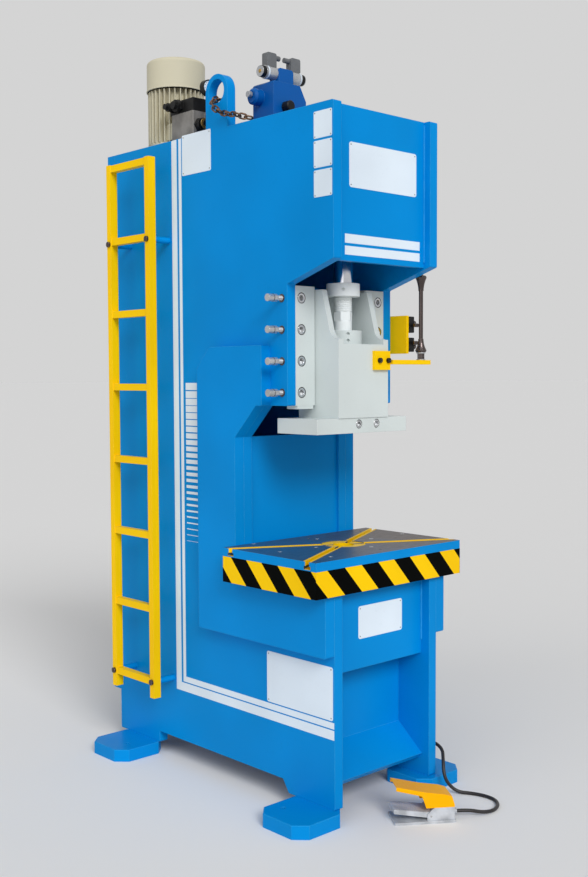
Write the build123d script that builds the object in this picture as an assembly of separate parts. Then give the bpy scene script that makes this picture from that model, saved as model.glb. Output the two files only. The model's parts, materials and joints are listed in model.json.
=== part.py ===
"""Gap-frame hydraulic press: a welded frame of two side plates, a guided ram over a
slotted table, a power pack on the top deck, a ladder and a foot switch."""
from build123d import *
import math
import os

# All lengths are millimetres. X is across the machine, Y runs from front to back, Z is up.
# Depths are measured back from the front edges of the side plates.

# Frame
FRAME_WIDTH = 550.0
PLATE_T = 40.0
DOUBLER_T = 45.0
FRAME_DEPTH = 1326.0
FRAME_HEIGHT = 2532.0
CORNER_R = 6.0
HEAD_BOTTOM_Z = 1994.0
GUIDE_DEPTH = 237.0
GUIDE_TOP_Z = 1919.0
GUIDE_BOTTOM_Z = 1479.0
THROAT_DEPTH = 484.0
THROAT_CHAMFER = 122.0
BED_Z = 822.0
ARCH_Z = 97.0
FRONT_LEG_FOOT = 240.0
FRONT_LEG_TOP = 272.0
REAR_LEG_START = 1042.0

# Doubler plates on the outer faces
DOUBLER_REAR = 711.0
DOUBLER_TOP_Z = 1700.0
DOUBLER_BOTTOM_Z = 601.0
DOUBLER_HEAD_DEPTH = 330.0
DOUBLER_CUT = 80.0

# Lifting lugs on the side plates
LUG_WIDTH = 130.0
LEFT_LUG_DEPTH = 632.0
RIGHT_LUG_DEPTH = 850.0
LUG_RISE = 142.0
LUG_HOLE_R = 46.0

# Cross plates between the side plates
WELD_GAP = 0.2
PANEL_T = 25.0
HEAD_PANEL_RECESS = 30.0
HEAD_PANEL_BOTTOM_Z = 1992.0
LOW_PANEL_RECESS = 40.0
LOW_PANEL_BOTTOM_Z = 524.0
THROAT_PLATE_RECESS = 12.0
INNER_WALL_DEPTH = 155.0
CHUTE_TOP_Z = 234.0
CHUTE_FRONT_DEPTH = 34.0
CHUTE_FRONT_Z = 132.0
CHUTE_T = 25.0
BACK_PLATE_T = 50.0
BACK_PLATE_BOTTOM_Z = 220.0
MOUNT_PLATE_Z = 2080.0
MOUNT_PLATE_T = 60.0
MOUNT_PLATE_DEPTH = 390.0
DECK_DROP = 70.0
DECK_T = 12.0

# Foot pads and foundation holes
PAD_T = 50.0
PAD_WIDTH = 237.0
PAD_LENGTH = 236.0
PAD_CUT = 44.0
PAD_LEFT_EDGE = -472.0
PAD_RIGHT_EDGE = 415.0
PAD_FRONT_DEPTH = -30.0
PAD_REAR_DEPTH = 1047.0
FOUNDATION_SPACING_X = 770.0
FOUNDATION_FRONT_DEPTH = 150.0
FOUNDATION_REAR_DEPTH = 1120.0
FOUNDATION_HOLE_R = 9.0

# Table
TABLE_WIDTH = 774.0
TABLE_LENGTH = 500.0
TABLE_T = 128.0
TABLE_CORNER_CUT = 7.0
TABLE_BORE_R = 40.0
RING_R = 85.0
RING_DEPTH = 3.0
SLOT_ANGLE = 28.0
SLOT_NECK = 18.0
SLOT_NECK_DEPTH = 16.0
SLOT_FOOT = 30.0
SLOT_FOOT_DEPTH = 12.0
TAPPED_R = 6.0
TAPPED_DEPTH = 30.0
TAPPED_X = 292.0
TAPPED_Y = 190.0

# Ram line and guides
RAM_DEPTH = 226.0
STROKE = 250.0
RUN_GAP = 0.3
SLIDE_WIDTH = 264.0
SLIDE_FRONT_DEPTH = 118.0
SLIDE_REAR_DEPTH = 330.3
SLIDE_TOP_Z = 1904.0
SLIDE_BOTTOM_Z = 1432.0
SLIDE_FLOOR_Z = 1704.0
SLIDE_WALL = 25.0
SLIDE_LEAN = 87.0
SLIDE_CORNER_BACK = 37.5
SLIDE_LIP = 18.0
SLIDE_CORNER_R = 46.0
EAR_WIDTH = 56.0
EAR_T = 36.0
EAR_BOTTOM_Z = 1484.0
GIB_T = 57.0
GIB_CHAMFER = 6.0
GUIDE_BACK_T = 40.0
GIB_SCREW_X = 204.0
GIB_SCREW_Z = 1527.0
GIB_SCREW_PITCH = 114.7
GIB_SCREW_COUNT = 4
M24_HEAD_R = 18.0
M24_HEAD = 24.0
M24_R = 12.0
M24_SOCKET = 19.0
SUNK_MARGIN = 2.0
ADJUSTER_Z = 1527.0
ADJUSTER_PITCH = 114.0
ADJUSTER_R = 8.0
ADJUSTER_OUT = 71.0
ADJUSTER_HEAD_R = 13.5
ADJUSTER_HEAD_T = 24.0
ADJUSTER_NUT = 24.0
ADJUSTER_NUT_T = 21.0
WIPER_T = 12.5
WIPER_GAP = 13.7
WIPER_MARGIN = 9.0

# Ram stack, from the table side up
PLATEN_WIDTH = 478.0
PLATEN_LENGTH = 210.0
PLATEN_T = 56.0
PLATEN_FRONT_DEPTH = 122.0
SHANK_R = 25.0
PLATEN_SCREW_MIDDLE = 25.5
PLATEN_SCREW_PITCH = 94.5
PLATEN_SCREW_DROP = 23.0
M20_HEAD_R = 15.0
M20_HEAD = 20.0
M20_R = 10.0
M20_SOCKET = 17.0
FLANGE_R = 70.0
FLANGE_T = 52.0
FLANGE_SCREW_TURN = 30.0
FLANGE_SCREW_RISES = (14.0, 39.0)
NECK_R = 33.0
NECK_TOP_Z = 1793.0
FLATS = 61.5
FLATS_TOP_Z = 1827.0
SCREW_R = 32.0
COLLAR_R = 63.0
COLLAR_BOTTOM_Z = 1883.0
COLLAR_T = 49.0
COLLAR_SCREW_TURN = 45.0
SET_SCREW_R = 6.0
SET_SCREW_DEPTH = 9.0
ROD_R = 37.5
PISTON_R = 90.0
PISTON_T = 60.0
PISTON_TOP_Z = 2430.0
BARREL_WALL = 25.0
BARREL_CAP_T = 40.0
BARREL_TOP_GAP = 12.0
CYLINDER_FLANGE_R = 145.0
CYLINDER_FLANGE_T = 40.0
GLAND_T = 72.0

# Limit switches and their trip rod
BRACKET_T = 12.0
BRACKET_LEFT = 46.0
BRACKET_WIDTH = 86.0
BRACKET_HEIGHT = 71.0
BRACKET_BOTTOM_Z = 1609.0
BRACKET_SCREW_PITCH = 47.0
ARM_BOTTOM_Z = 1630.0
ARM_T = 17.0
ARM_WIDTH = 30.0
ARM_RIGHT = 354.0
TRIP_X = 307.0
TRIP_DEPTH = 106.0
TRIP_R = 8.25
TRIP_TOP_Z = 2040.0
CAM_R = 22.0
CAM_RIM = 8.0
CAM_ROUND = 4.0
CAM_WALL = 2.0
LOW_CAM_T = 52.0
HIGH_CAM_Z = 1913.0
HIGH_CAM_T = 59.0
TRIP_NUT = 24.0
TRIP_NUT_T = 15.0
SWITCH_PLATE_T = 13.0
SWITCH_PLATE_FRONT = 152.0
SWITCH_PLATE_REAR = 248.0
SWITCH_PLATE_BOTTOM_Z = 1673.0
SWITCH_PLATE_HEIGHT = 147.0
SWITCH_W = 30.0
UPPER_SWITCH_L = 63.0
LOWER_SWITCH_L = 55.0
SWITCH_DEPTH = 50.0
SWITCH_FRONT = 150.0
UPPER_SWITCH_Z = 1785.5
LOWER_SWITCH_Z = 1707.5
UPPER_HUB_Z = 1790.0
LOWER_HUB_Z = 1702.0
UPPER_LEVER_TILT = -16.0
LOWER_LEVER_TILT = 30.0
LEVER_HUB_R = 12.5
LEVER_HUB_T = 11.0
LEVER_PIN_R = 4.0
LEVER_SET_BACK = 12.0
LEVER_PIN_LENGTH = 14.0
LEVER_T = 5.0
LEVER_W = 10.0
ROLLER_R = 7.5
ROLLER_T = 12.0
CAM_CLEARANCE = 0.6

# Motor and pump
MOTOR_X = -90.0
MOTOR_FROM_BACK = 196.0
MOTOR_CORE_R = 92.0
MOTOR_FIN_R = 119.0
MOTOR_FIN_COUNT = 32
MOTOR_FIN_T = 3.5
MOTOR_FLANGE_R = 125.0
MOTOR_FLANGE_T = 14.0
MOTOR_FLANGE_RISE = 58.0
MOTOR_SHIELD_T = 30.0
MOTOR_BODY_HEIGHT = 275.0
COWL_R = 123.0
COWL_OVERLAP = 9.0
COWL_HEIGHT = 126.0
COWL_WALL = 2.5
COWL_EDGE_R = 16.0
COWL_FOOT_WIDTH = 18.0
COWL_FOOT_T = 8.0
MOTOR_SHAFT_R = 14.0
SHAFT_GAP = 0.05
FAN_R = 96.0
FAN_T = 26.0
FAN_BLADES = 7
BELL_R = 84.0
BELL_WALL = 12.0
BELL_DROP = 72.0
SHAFT_DROP = 80.0
PUMP_SHAFT_R = 9.9
COUPLING_R = 34.0
COUPLING_LENGTH = 80.0
COUPLING_DROP = 24.0
PUMP_R = 48.0
PUMP_T = 130.0
SUCTION_R = 17.0
SUCTION_LENGTH = 250.0
STRAINER_R = 40.0
STRAINER_T = 110.0

# Tank under the deck
TANK_LENGTH = 566.0
TANK_HEIGHT = 612.0
TANK_WALL = 6.0

# Terminal box, glands, gauge and filler
BOX_FROM_MOTOR_X = 110.0
BOX_FROM_MOTOR_DEPTH = 256.0
BOX_WIDTH = 118.0
BOX_LENGTH = 144.0
BOX_HEIGHT = 110.0
BOX_TOP_RISE = 196.0
BOX_EDGE_R = 5.0
BOX_NECK_INSET = 22.0
BAR_HEIGHT = 54.0
BAR_WIDTH = 50.0
BAR_MARGIN = 6.0
GLAND_R = 26.0
GLAND_LENGTH = 38.0
SMALL_GLAND_R = 19.0
SMALL_GLAND_LENGTH = 46.0
SIDE_GLAND_BACK = 94.0
SMALL_GLAND_BACK = 138.0
SIDE_GLAND_RISE = 31.0
GAUGE_X = -170.0
GAUGE_FROM_BOX = 58.0
GAUGE_RISE = 277.0
GAUGE_R = 31.0
GAUGE_T = 24.0
GAUGE_STEM_R = 9.0

# Valve stack
MANIFOLD_FRONT_DEPTH = 549.0
MANIFOLD_LEFT = -57.0
MANIFOLD_RIGHT = 119.0
MANIFOLD_LENGTH = 120.0
MANIFOLD_HEIGHT = 265.0
MANIFOLD_SLOPE_WIDTH = 33.0
MANIFOLD_SLOPE_DROP = 58.0
MANIFOLD_CHAMFER = 6.0
LOBE_R = 32.0
LOBE_LENGTH = 42.0
LOBE_DROP = 54.0
VALVE_MIDDLE_X = 26.0
VALVE_WIDTH = 78.0
VALVE_LENGTH = 54.0
VALVE_HEIGHT = 59.0
VALVE_SET_BACK = 16.0
SOLENOID_RISE = 38.0
SOLENOID_R = 26.0
SOLENOID_LENGTH = 52.0
SOLENOID_CAP_R = 21.0
SOLENOID_CAP_T = 23.0
PLUG_HEIGHT = 50.0
PLUG_WIDTH = 50.0
PLUG_LENGTH = 30.0
PLUG_OUT = 25.0
PLUG_GLAND_R = 10.0
PLUG_GLAND_LENGTH = 26.0
FLOW_KNOB_R = 21.0
FLOW_KNOB_T = 34.0
FLOW_KNOB_X = 5.0
FLOW_KNOB_DROP = 95.0
RELIEF_KNOB_R = 12.0
RELIEF_KNOB_T = 16.0
RELIEF_KNOB_RISE = 5.0
KNOB_STEM_R = 6.0
PIPE_RISE = 50.0
RETURN_PIPE_BACK = 426.0
PIPE_R = 10.0
PIPE_BEND = 22.0

# Ladder on the left side
RUNG_PITCH = 300.0
RUNG_COUNT = 8
LOW_RUNG_Z = 345.0
RUNG_T = 28.0
STILE_WIDTH = 34.0
STILE_T = 28.0
STILE_FRONT_DEPTH = 930.0
LADDER_WIDTH = 297.0
LADDER_OFFSET = 74.0
STILE_BELOW = 66.0
STANDOFF_R = 13.0
UPPER_STANDOFF_DROP = 9.0
LADDER_BOLT_HEAD = 19.0
LADDER_BOLT_HEAD_T = 8.0
LADDER_BOLT_R = 6.0

# Lifting chain
LINK_WIRE_R = 3.4
LINK_PITCH = 23.0
LINK_WIDTH = 20.0
LINK_SLACK = 1.2

# Foot switch on the floor
FOOT_ANGLE = -35.0
FOOT_X = -2.0
FOOT_DEPTH = -168.0
FOOT_LENGTH = 224.0
FOOT_WIDTH = 114.0
FOOT_BASE_T = 9.0
FOOT_SHELL_T = 3.0
HOUSING_START = 34.0
HOUSING_END = 108.0
HOUSING_WIDTH = 100.0
HOUSING_TOP_Z = 54.0
HOUSING_WALL = 6.0
PEDAL_TOE_Z = 53.0
PEDAL_HEEL_Z = 35.0
PEDAL_HEEL = 30.0
PEDAL_WIDTH = 88.0
PEDAL_T = 4.0
PEDAL_PIN_R = 4.0
PEDAL_PIN_U = 22.0
PEDAL_PIN_Z = 24.0
HOOD_TIP = -105.0
HOOD_TIP_Z = 136.0
CABLE_BOSS_R = 10.0

# Foot switch cable: X, depth and height of each corner of its route
CABLE_R = 6.5
GLAND_X = 298.0
GLAND_DEPTH = 96.0
GLAND_Z = 166.0
CABLE_ROUTE = [
    (298.0, 96.0, 166.0), (298.0, 50.0, 166.0), (298.0, -16.0, 150.0), (258.0, -52.0, 116.0),
    (242.0, -68.0, 76.0), (247.0, -83.0, 40.0), (273.0, -110.0, 8.0), (304.0, -152.0, 6.6),
    (321.0, -204.0, 6.6), (316.0, -256.0, 6.6), (280.0, -296.0, 6.6), (226.0, -314.0, 6.6),
    (170.0, -307.0, 14.0), (123.68, -281.38, 28.0), (86.0, -255.0, 28.0),
]

# Places worked out from the sizes above
FRONT_Y = -(FOUNDATION_FRONT_DEPTH + FOUNDATION_REAR_DEPTH) / 2
HALF_OUT = FRAME_WIDTH / 2
HALF_IN = HALF_OUT - PLATE_T
RAM_Y = FRONT_Y + RAM_DEPTH
FIT = 0.15
LUG_HOLE_Z = FRAME_HEIGHT + LUG_RISE
DECK_Z = FRAME_HEIGHT - DECK_DROP
MOTOR_DEPTH = FRAME_DEPTH - MOTOR_FROM_BACK
MOTOR_FLANGE_Z = DECK_Z + MOTOR_FLANGE_RISE
MOTOR_FIN_TOP_Z = MOTOR_FLANGE_Z + MOTOR_BODY_HEIGHT
COWL_BOTTOM_Z = MOTOR_FIN_TOP_Z - COWL_OVERLAP
COWL_TOP_Z = COWL_BOTTOM_Z + COWL_HEIGHT
TANK_FRONT_DEPTH = FRAME_DEPTH - TANK_LENGTH
TANK_BOTTOM_Z = DECK_Z - TANK_HEIGHT
BOX_LEFT = MOTOR_X - BOX_FROM_MOTOR_X
BOX_FRONT_DEPTH = MOTOR_DEPTH - BOX_FROM_MOTOR_DEPTH
BOX_TOP_Z = DECK_Z + BOX_TOP_RISE
GAUGE_DEPTH = BOX_FRONT_DEPTH - GAUGE_FROM_BOX
GAUGE_Z = DECK_Z + GAUGE_RISE
MANIFOLD_TOP_Z = DECK_Z + DECK_T + MANIFOLD_HEIGHT
LOBE_Z = MANIFOLD_TOP_Z - LOBE_DROP
SOLENOID_Z = MANIFOLD_TOP_Z + SOLENOID_RISE
FLOW_KNOB_Z = MANIFOLD_TOP_Z - FLOW_KNOB_DROP
RELIEF_KNOB_Z = LOBE_Z + RELIEF_KNOB_RISE
LOW_CAM_Z = ARM_BOTTOM_Z + ARM_T + 2 * TRIP_NUT_T

nodes = {}


def at(x, depth, z):
    """Placement from X, depth behind the front edges, and height."""
    return Pos(x, FRONT_Y + depth, z)


def side_sheet(corners, radius=0.0):
    """Flat sheet in the plane of the side plates, from (depth, height) corners."""
    outline = make_face(Polyline(*corners, close=True))
    if radius:
        outline = fillet(outline.vertices(), radius)
    return Pos(0, FRONT_Y, 0) * (Plane.YZ * outline)


def sideways(sheet, x_start, thickness):
    """Solid from a side sheet, from x_start towards +X."""
    return Pos(x_start, 0, 0) * extrude(sheet, amount=thickness, dir=(1, 0, 0))


def block(x0, x1, d0, d1, z0, z1):
    """Box between two X values, two depths and two heights."""
    centre = at((x0 + x1) / 2, (d0 + d1) / 2, (z0 + z1) / 2)
    return centre * Box(x1 - x0, d1 - d0, z1 - z0)


def rod_z(radius, z0, z1):
    """Upright cylinder between two heights."""
    return Pos(0, 0, (z0 + z1) / 2) * Cylinder(radius, z1 - z0)


def rod_x(radius, x0, x1):
    """Cylinder along X between two X values."""
    return Pos((x0 + x1) / 2, 0, 0) * Rot(0, 90, 0) * Cylinder(radius, x1 - x0)


def rod_y(radius, d0, d1):
    """Cylinder along Y between two depths, at X 0 and height 0."""
    return at(0, (d0 + d1) / 2, 0) * Rot(90, 0, 0) * Cylinder(radius, d1 - d0)


def hexagon(across_flats, thickness):
    """Hexagonal prism on the XY plane, centred."""
    face = RegularPolygon(across_flats / math.sqrt(3), 6)
    return Pos(0, 0, -thickness / 2) * extrude(face, thickness)


def cap_screw(shank_r, head_r, head_t, length, socket):
    """Socket head screw along Z: seat of the head at 0, head up, shank down."""
    body = rod_z(shank_r, -length, 0) + rod_z(head_r, 0, head_t)
    rim = body.edges().filter_by(GeomType.CIRCLE).sort_by(Axis.Z)[-1]
    body = chamfer(rim, head_t / 12)
    return body - Pos(0, 0, head_t * 0.8) * hexagon(socket, head_t * 0.6)


def mirrored(shape):
    return mirror(shape, about=Plane.YZ)


def group(solids):
    """One node of several separate solids."""
    return Compound(children=[s.solid() if isinstance(s, Part) else s for s in solids])


# Side plates with their lifting lugs

def side_plate(lug_depth):
    corners = [
        (0, PAD_T), (FRONT_LEG_FOOT, PAD_T), (FRONT_LEG_TOP, ARCH_Z), (REAR_LEG_START, ARCH_Z),
        (REAR_LEG_START, PAD_T), (FRAME_DEPTH, PAD_T), (FRAME_DEPTH, FRAME_HEIGHT),
        (0, FRAME_HEIGHT), (0, HEAD_BOTTOM_Z), (GUIDE_DEPTH, GUIDE_TOP_Z),
        (GUIDE_DEPTH, GUIDE_BOTTOM_Z), (THROAT_DEPTH - THROAT_CHAMFER, GUIDE_BOTTOM_Z),
        (THROAT_DEPTH, GUIDE_BOTTOM_Z - THROAT_CHAMFER), (THROAT_DEPTH, BED_Z), (0, BED_Z),
    ]
    plate = sideways(side_sheet(corners, CORNER_R), -HALF_OUT, PLATE_T)
    lug_r = LUG_WIDTH / 2
    lug = block(-HALF_OUT, -HALF_IN, lug_depth - lug_r, lug_depth + lug_r, FRAME_HEIGHT - CORNER_R, LUG_HOLE_Z)
    lug += at(0, lug_depth, LUG_HOLE_Z) * rod_x(lug_r, -HALF_OUT, -HALF_IN)
    return plate + lug - at(0, lug_depth, LUG_HOLE_Z) * rod_x(LUG_HOLE_R, -HALF_OUT - 1, -HALF_IN + 1)


def adjuster_heights():
    return [ADJUSTER_Z + i * ADJUSTER_PITCH for i in range(GIB_SCREW_COUNT)]


left_plate = side_plate(LEFT_LUG_DEPTH)
for z in adjuster_heights():
    left_plate -= at(0, GUIDE_DEPTH + GIB_T / 2, z) * rod_x(ADJUSTER_R + FIT, -HALF_OUT - 1, -HALF_IN + 1)
nodes["left_side_plate"] = left_plate
nodes["right_side_plate"] = mirrored(side_plate(RIGHT_LUG_DEPTH))


# Doubler plates

def doubler():
    corners = [
        (0, DOUBLER_BOTTOM_Z), (DOUBLER_REAR, DOUBLER_BOTTOM_Z),
        (DOUBLER_REAR, DOUBLER_TOP_Z - DOUBLER_CUT), (DOUBLER_REAR - DOUBLER_CUT, DOUBLER_TOP_Z),
        (DOUBLER_HEAD_DEPTH, DOUBLER_TOP_Z), (DOUBLER_HEAD_DEPTH, GUIDE_BOTTOM_Z),
        (THROAT_DEPTH - THROAT_CHAMFER, GUIDE_BOTTOM_Z),
        (THROAT_DEPTH, GUIDE_BOTTOM_Z - THROAT_CHAMFER), (THROAT_DEPTH, BED_Z), (0, BED_Z),
    ]
    return sideways(side_sheet(corners, CORNER_R), -HALF_OUT - DOUBLER_T, DOUBLER_T)


nodes["doubler_plates"] = group([doubler(), mirrored(doubler())])


# Cross plates between the side plates

def cross_plate(d0, d1, z0, z1):
    return block(-HALF_IN + WELD_GAP, HALF_IN - WELD_GAP, d0, d1, z0, z1)


nodes["head_front_panel"] = cross_plate(
    HEAD_PANEL_RECESS, HEAD_PANEL_RECESS + PANEL_T, HEAD_PANEL_BOTTOM_Z, FRAME_HEIGHT)
nodes["lower_front_panel"] = cross_plate(
    LOW_PANEL_RECESS, LOW_PANEL_RECESS + PANEL_T, LOW_PANEL_BOTTOM_Z, BED_Z)
nodes["back_plate"] = block(
    -HALF_OUT, HALF_OUT, FRAME_DEPTH, FRAME_DEPTH + BACK_PLATE_T, BACK_PLATE_BOTTOM_Z, FRAME_HEIGHT)


def chute():
    """Sloping plate from the front lip up to the inner wall."""
    rise = CHUTE_TOP_Z - CHUTE_FRONT_Z
    run = INNER_WALL_DEPTH - CHUTE_FRONT_DEPTH
    length = math.hypot(rise, run)
    drop = (CHUTE_T * run / length, CHUTE_T * rise / length)
    corners = [
        (CHUTE_FRONT_DEPTH, CHUTE_FRONT_Z), (INNER_WALL_DEPTH, CHUTE_TOP_Z),
        (INNER_WALL_DEPTH, CHUTE_TOP_Z - CHUTE_T * length / run),
        (CHUTE_FRONT_DEPTH + drop[1], CHUTE_FRONT_Z - drop[0]),
    ]
    return sideways(side_sheet(corners), -HALF_IN + WELD_GAP, 2 * (HALF_IN - WELD_GAP))


def inner_wall():
    return cross_plate(INNER_WALL_DEPTH, INNER_WALL_DEPTH + PANEL_T, ARCH_Z, BED_Z)


throat_plate = cross_plate(
    THROAT_DEPTH + THROAT_PLATE_RECESS, THROAT_DEPTH + THROAT_PLATE_RECESS + PANEL_T,
    BED_Z - PANEL_T, GUIDE_BOTTOM_Z - THROAT_CHAMFER)
nodes["inner_plates"] = group([throat_plate, chute(), inner_wall()])

mount_plate = cross_plate(HEAD_PANEL_RECESS + PANEL_T, HEAD_PANEL_RECESS + PANEL_T + MOUNT_PLATE_DEPTH,
                          MOUNT_PLATE_Z, MOUNT_PLATE_Z + MOUNT_PLATE_T)
barrel_r = PISTON_R + BARREL_WALL
nodes["cylinder_mount_plate"] = mount_plate - Pos(0, RAM_Y, 0) * rod_z(
    barrel_r + FIT, MOUNT_PLATE_Z - 1, MOUNT_PLATE_Z + MOUNT_PLATE_T + 1)


# Foot pads

def pad(x0, d0):
    """Thick pad with cut corners under one corner of the frame."""
    plate = block(x0, x0 + PAD_WIDTH, d0, d0 + PAD_LENGTH, 0, PAD_T)
    plate = chamfer(plate.edges().filter_by(Axis.Z), PAD_CUT)
    return chamfer(plate.faces().sort_by(Axis.Z)[-1].edges(), 2)


def foundation_places():
    half = FOUNDATION_SPACING_X / 2
    return [(x, d) for x in (-half, half) for d in (FOUNDATION_FRONT_DEPTH, FOUNDATION_REAR_DEPTH)]


pads = []
for pad_x in (PAD_LEFT_EDGE, PAD_RIGHT_EDGE - PAD_WIDTH):
    for pad_d in (PAD_FRONT_DEPTH, PAD_REAR_DEPTH):
        solid = pad(pad_x, pad_d)
        for hole_x, hole_d in foundation_places():
            solid -= at(hole_x, hole_d, 0) * rod_z(FOUNDATION_HOLE_R, -1, PAD_T + 1)
        pads.append(solid)
nodes["foot_pads"] = group(pads)


# Table with diagonal T-slots and a centre bore

table_front = RAM_DEPTH - TABLE_LENGTH / 2
table_z = BED_Z + TABLE_T


def t_slot(angle, reach):
    """Cutter for one T-slot from the centre outwards, its top at height 0."""
    neck = Pos(reach / 2, 0, -SLOT_NECK_DEPTH / 2 + 1) * Box(reach, SLOT_NECK, SLOT_NECK_DEPTH + 2)
    foot = Pos(reach / 2, 0, -SLOT_NECK_DEPTH - SLOT_FOOT_DEPTH / 2) * Box(reach, SLOT_FOOT, SLOT_FOOT_DEPTH)
    return Rot(0, 0, angle) * (neck + foot)


def table():
    plate = block(-TABLE_WIDTH / 2, TABLE_WIDTH / 2, table_front, table_front + TABLE_LENGTH, BED_Z, table_z)
    plate = chamfer(plate.edges().filter_by(Axis.Z), TABLE_CORNER_CUT)
    centre = Pos(0, RAM_Y, 0)
    for angle in (SLOT_ANGLE, 180 - SLOT_ANGLE, 180 + SLOT_ANGLE, -SLOT_ANGLE):
        plate -= centre * Pos(0, 0, table_z) * t_slot(angle, TABLE_WIDTH)
    plate -= centre * rod_z(RING_R, table_z - RING_DEPTH, table_z + 1)
    plate -= centre * rod_z(TABLE_BORE_R, BED_Z - 1, table_z + 1)
    for x in (-TAPPED_X, 0, TAPPED_X):
        for y in (-TAPPED_Y, TAPPED_Y):
            plate -= centre * Pos(x, y, 0) * rod_z(TAPPED_R, table_z - TAPPED_DEPTH, table_z + 1)
    return plate


nodes["table"] = table()


# Slide guides: back plate with spacer rails, gib bars, screws, adjusters and wipers

gib_inner = SLIDE_WIDTH / 2 + RUN_GAP
gib_rear = GUIDE_DEPTH + GIB_T
ear_outer = SLIDE_WIDTH / 2 + EAR_WIDTH
ear_front = gib_rear + RUN_GAP
guide_back_depth = ear_front + EAR_T + RUN_GAP
gib_screw_seat = GUIDE_DEPTH + M24_HEAD + 1


def guide_back():
    plate = cross_plate(guide_back_depth, guide_back_depth + GUIDE_BACK_T, GUIDE_BOTTOM_Z, GUIDE_TOP_Z)
    for side in (-1, 1):
        inner = side * (ear_outer + RUN_GAP)
        outer = side * (HALF_IN - WELD_GAP)
        plate += block(min(inner, outer), max(inner, outer), gib_rear, guide_back_depth,
                       GUIDE_BOTTOM_Z, GUIDE_TOP_Z)
        for z in gib_screw_heights():
            plate -= at(side * GIB_SCREW_X, 0, z) * Pos(0, -FRONT_Y, 0) * rod_y(
                M24_R + FIT, gib_rear - 1, guide_back_depth)
    return plate


def gib_screw_heights():
    return [GIB_SCREW_Z + i * GIB_SCREW_PITCH for i in range(GIB_SCREW_COUNT)]


def gib_bar():
    """Left gib bar, bolted from the front."""
    bar = block(-HALF_IN + FIT, -gib_inner, GUIDE_DEPTH, gib_rear, GUIDE_BOTTOM_Z, GUIDE_TOP_Z - 4)
    front_inner = bar.edges().filter_by(Axis.Z).sort_by(Axis.X)[-2:].sort_by(Axis.Y)[0]
    bar = chamfer(front_inner, GIB_CHAMFER)
    for z in gib_screw_heights():
        middle = Pos(-GIB_SCREW_X, 0, z)
        bar -= middle * rod_y(M24_R + FIT, GUIDE_DEPTH - 1, gib_rear + 1)
        bar -= middle * rod_y(M24_HEAD_R + SUNK_MARGIN, GUIDE_DEPTH - 1, gib_screw_seat)
    return bar


nodes["guide_back"] = guide_back()

front_facing = Rot(90, 0, 0)
gib_screws = []
for side in (-1, 1):
    for z in gib_screw_heights():
        length = guide_back_depth - gib_screw_seat - SUNK_MARGIN
        screw = cap_screw(M24_R, M24_HEAD_R, M24_HEAD, length, M24_SOCKET)
        gib_screws.append(at(side * GIB_SCREW_X, gib_screw_seat, z) * front_facing * screw)
nodes["gib_screws"] = group(gib_screws)


def adjuster():
    """Left gib adjusting screw: round head outwards, with its nut behind the head."""
    tip = -HALF_OUT - ADJUSTER_OUT
    nut_start = tip + ADJUSTER_HEAD_T
    screw = rod_x(ADJUSTER_R, tip, -HALF_IN) + rod_x(ADJUSTER_HEAD_R, tip, nut_start)
    nut = Pos(nut_start + FIT + ADJUSTER_NUT_T / 2, 0, 0) * Rot(0, 90, 0) * hexagon(ADJUSTER_NUT, ADJUSTER_NUT_T)
    return screw, nut - rod_x(ADJUSTER_R + FIT, tip, -HALF_OUT)


adjusters = []
for z in adjuster_heights():
    adjusters += [at(0, GUIDE_DEPTH + GIB_T / 2, z) * piece for piece in adjuster()]
nodes["gib_adjusters"] = group(adjusters)

wiper = block(-HALF_IN + WIPER_MARGIN, -gib_inner - WIPER_GAP, GUIDE_DEPTH, gib_rear,
              GUIDE_BOTTOM_Z - WIPER_T - FIT, GUIDE_BOTTOM_Z - FIT)
nodes["gib_bars"] = group([gib_bar(), mirrored(gib_bar()), wiper, mirrored(wiper)])


# Slide with an open notch for the adjusting screw

def slide():
    half = SLIDE_WIDTH / 2
    top_front = SLIDE_FRONT_DEPTH + SLIDE_LEAN
    lip_z = SLIDE_FLOOR_Z + SLIDE_LIP
    corners = [
        (SLIDE_FRONT_DEPTH, SLIDE_BOTTOM_Z), (SLIDE_REAR_DEPTH, SLIDE_BOTTOM_Z),
        (SLIDE_REAR_DEPTH, SLIDE_TOP_Z), (top_front, SLIDE_TOP_Z),
        (SLIDE_FRONT_DEPTH + SLIDE_CORNER_BACK, lip_z), (SLIDE_FRONT_DEPTH, lip_z),
    ]
    body = sideways(side_sheet(corners), -half, SLIDE_WIDTH)
    inner_corner = body.edges().filter_by(Axis.X).sort_by_distance(
        at(0, SLIDE_FRONT_DEPTH + SLIDE_CORNER_BACK, lip_z).position)[0]
    body = fillet(inner_corner, SLIDE_CORNER_R)
    ear_rear = ear_front + EAR_T
    body += block(-ear_outer, ear_outer, ear_front, ear_rear, EAR_BOTTOM_Z, SLIDE_TOP_Z)
    body -= block(-half + SLIDE_WALL, half - SLIDE_WALL, SLIDE_FRONT_DEPTH - 1,
                  SLIDE_REAR_DEPTH - SLIDE_WALL, SLIDE_FLOOR_Z, SLIDE_TOP_Z + 1)
    for x in bracket_screw_places():
        body -= Pos(x, 0, bracket_mid_z) * rod_y(LADDER_BOLT_R + FIT, SLIDE_FRONT_DEPTH - 1, SLIDE_FRONT_DEPTH + 24)
    return body


def bracket_screw_places():
    middle = BRACKET_LEFT + BRACKET_WIDTH / 2 + 5
    return [middle - BRACKET_SCREW_PITCH / 2, middle + BRACKET_SCREW_PITCH / 2]


bracket_mid_z = BRACKET_BOTTOM_Z + BRACKET_HEIGHT / 2
nodes["slide"] = slide()


# Platen with its shank bore and clamp screws

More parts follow.
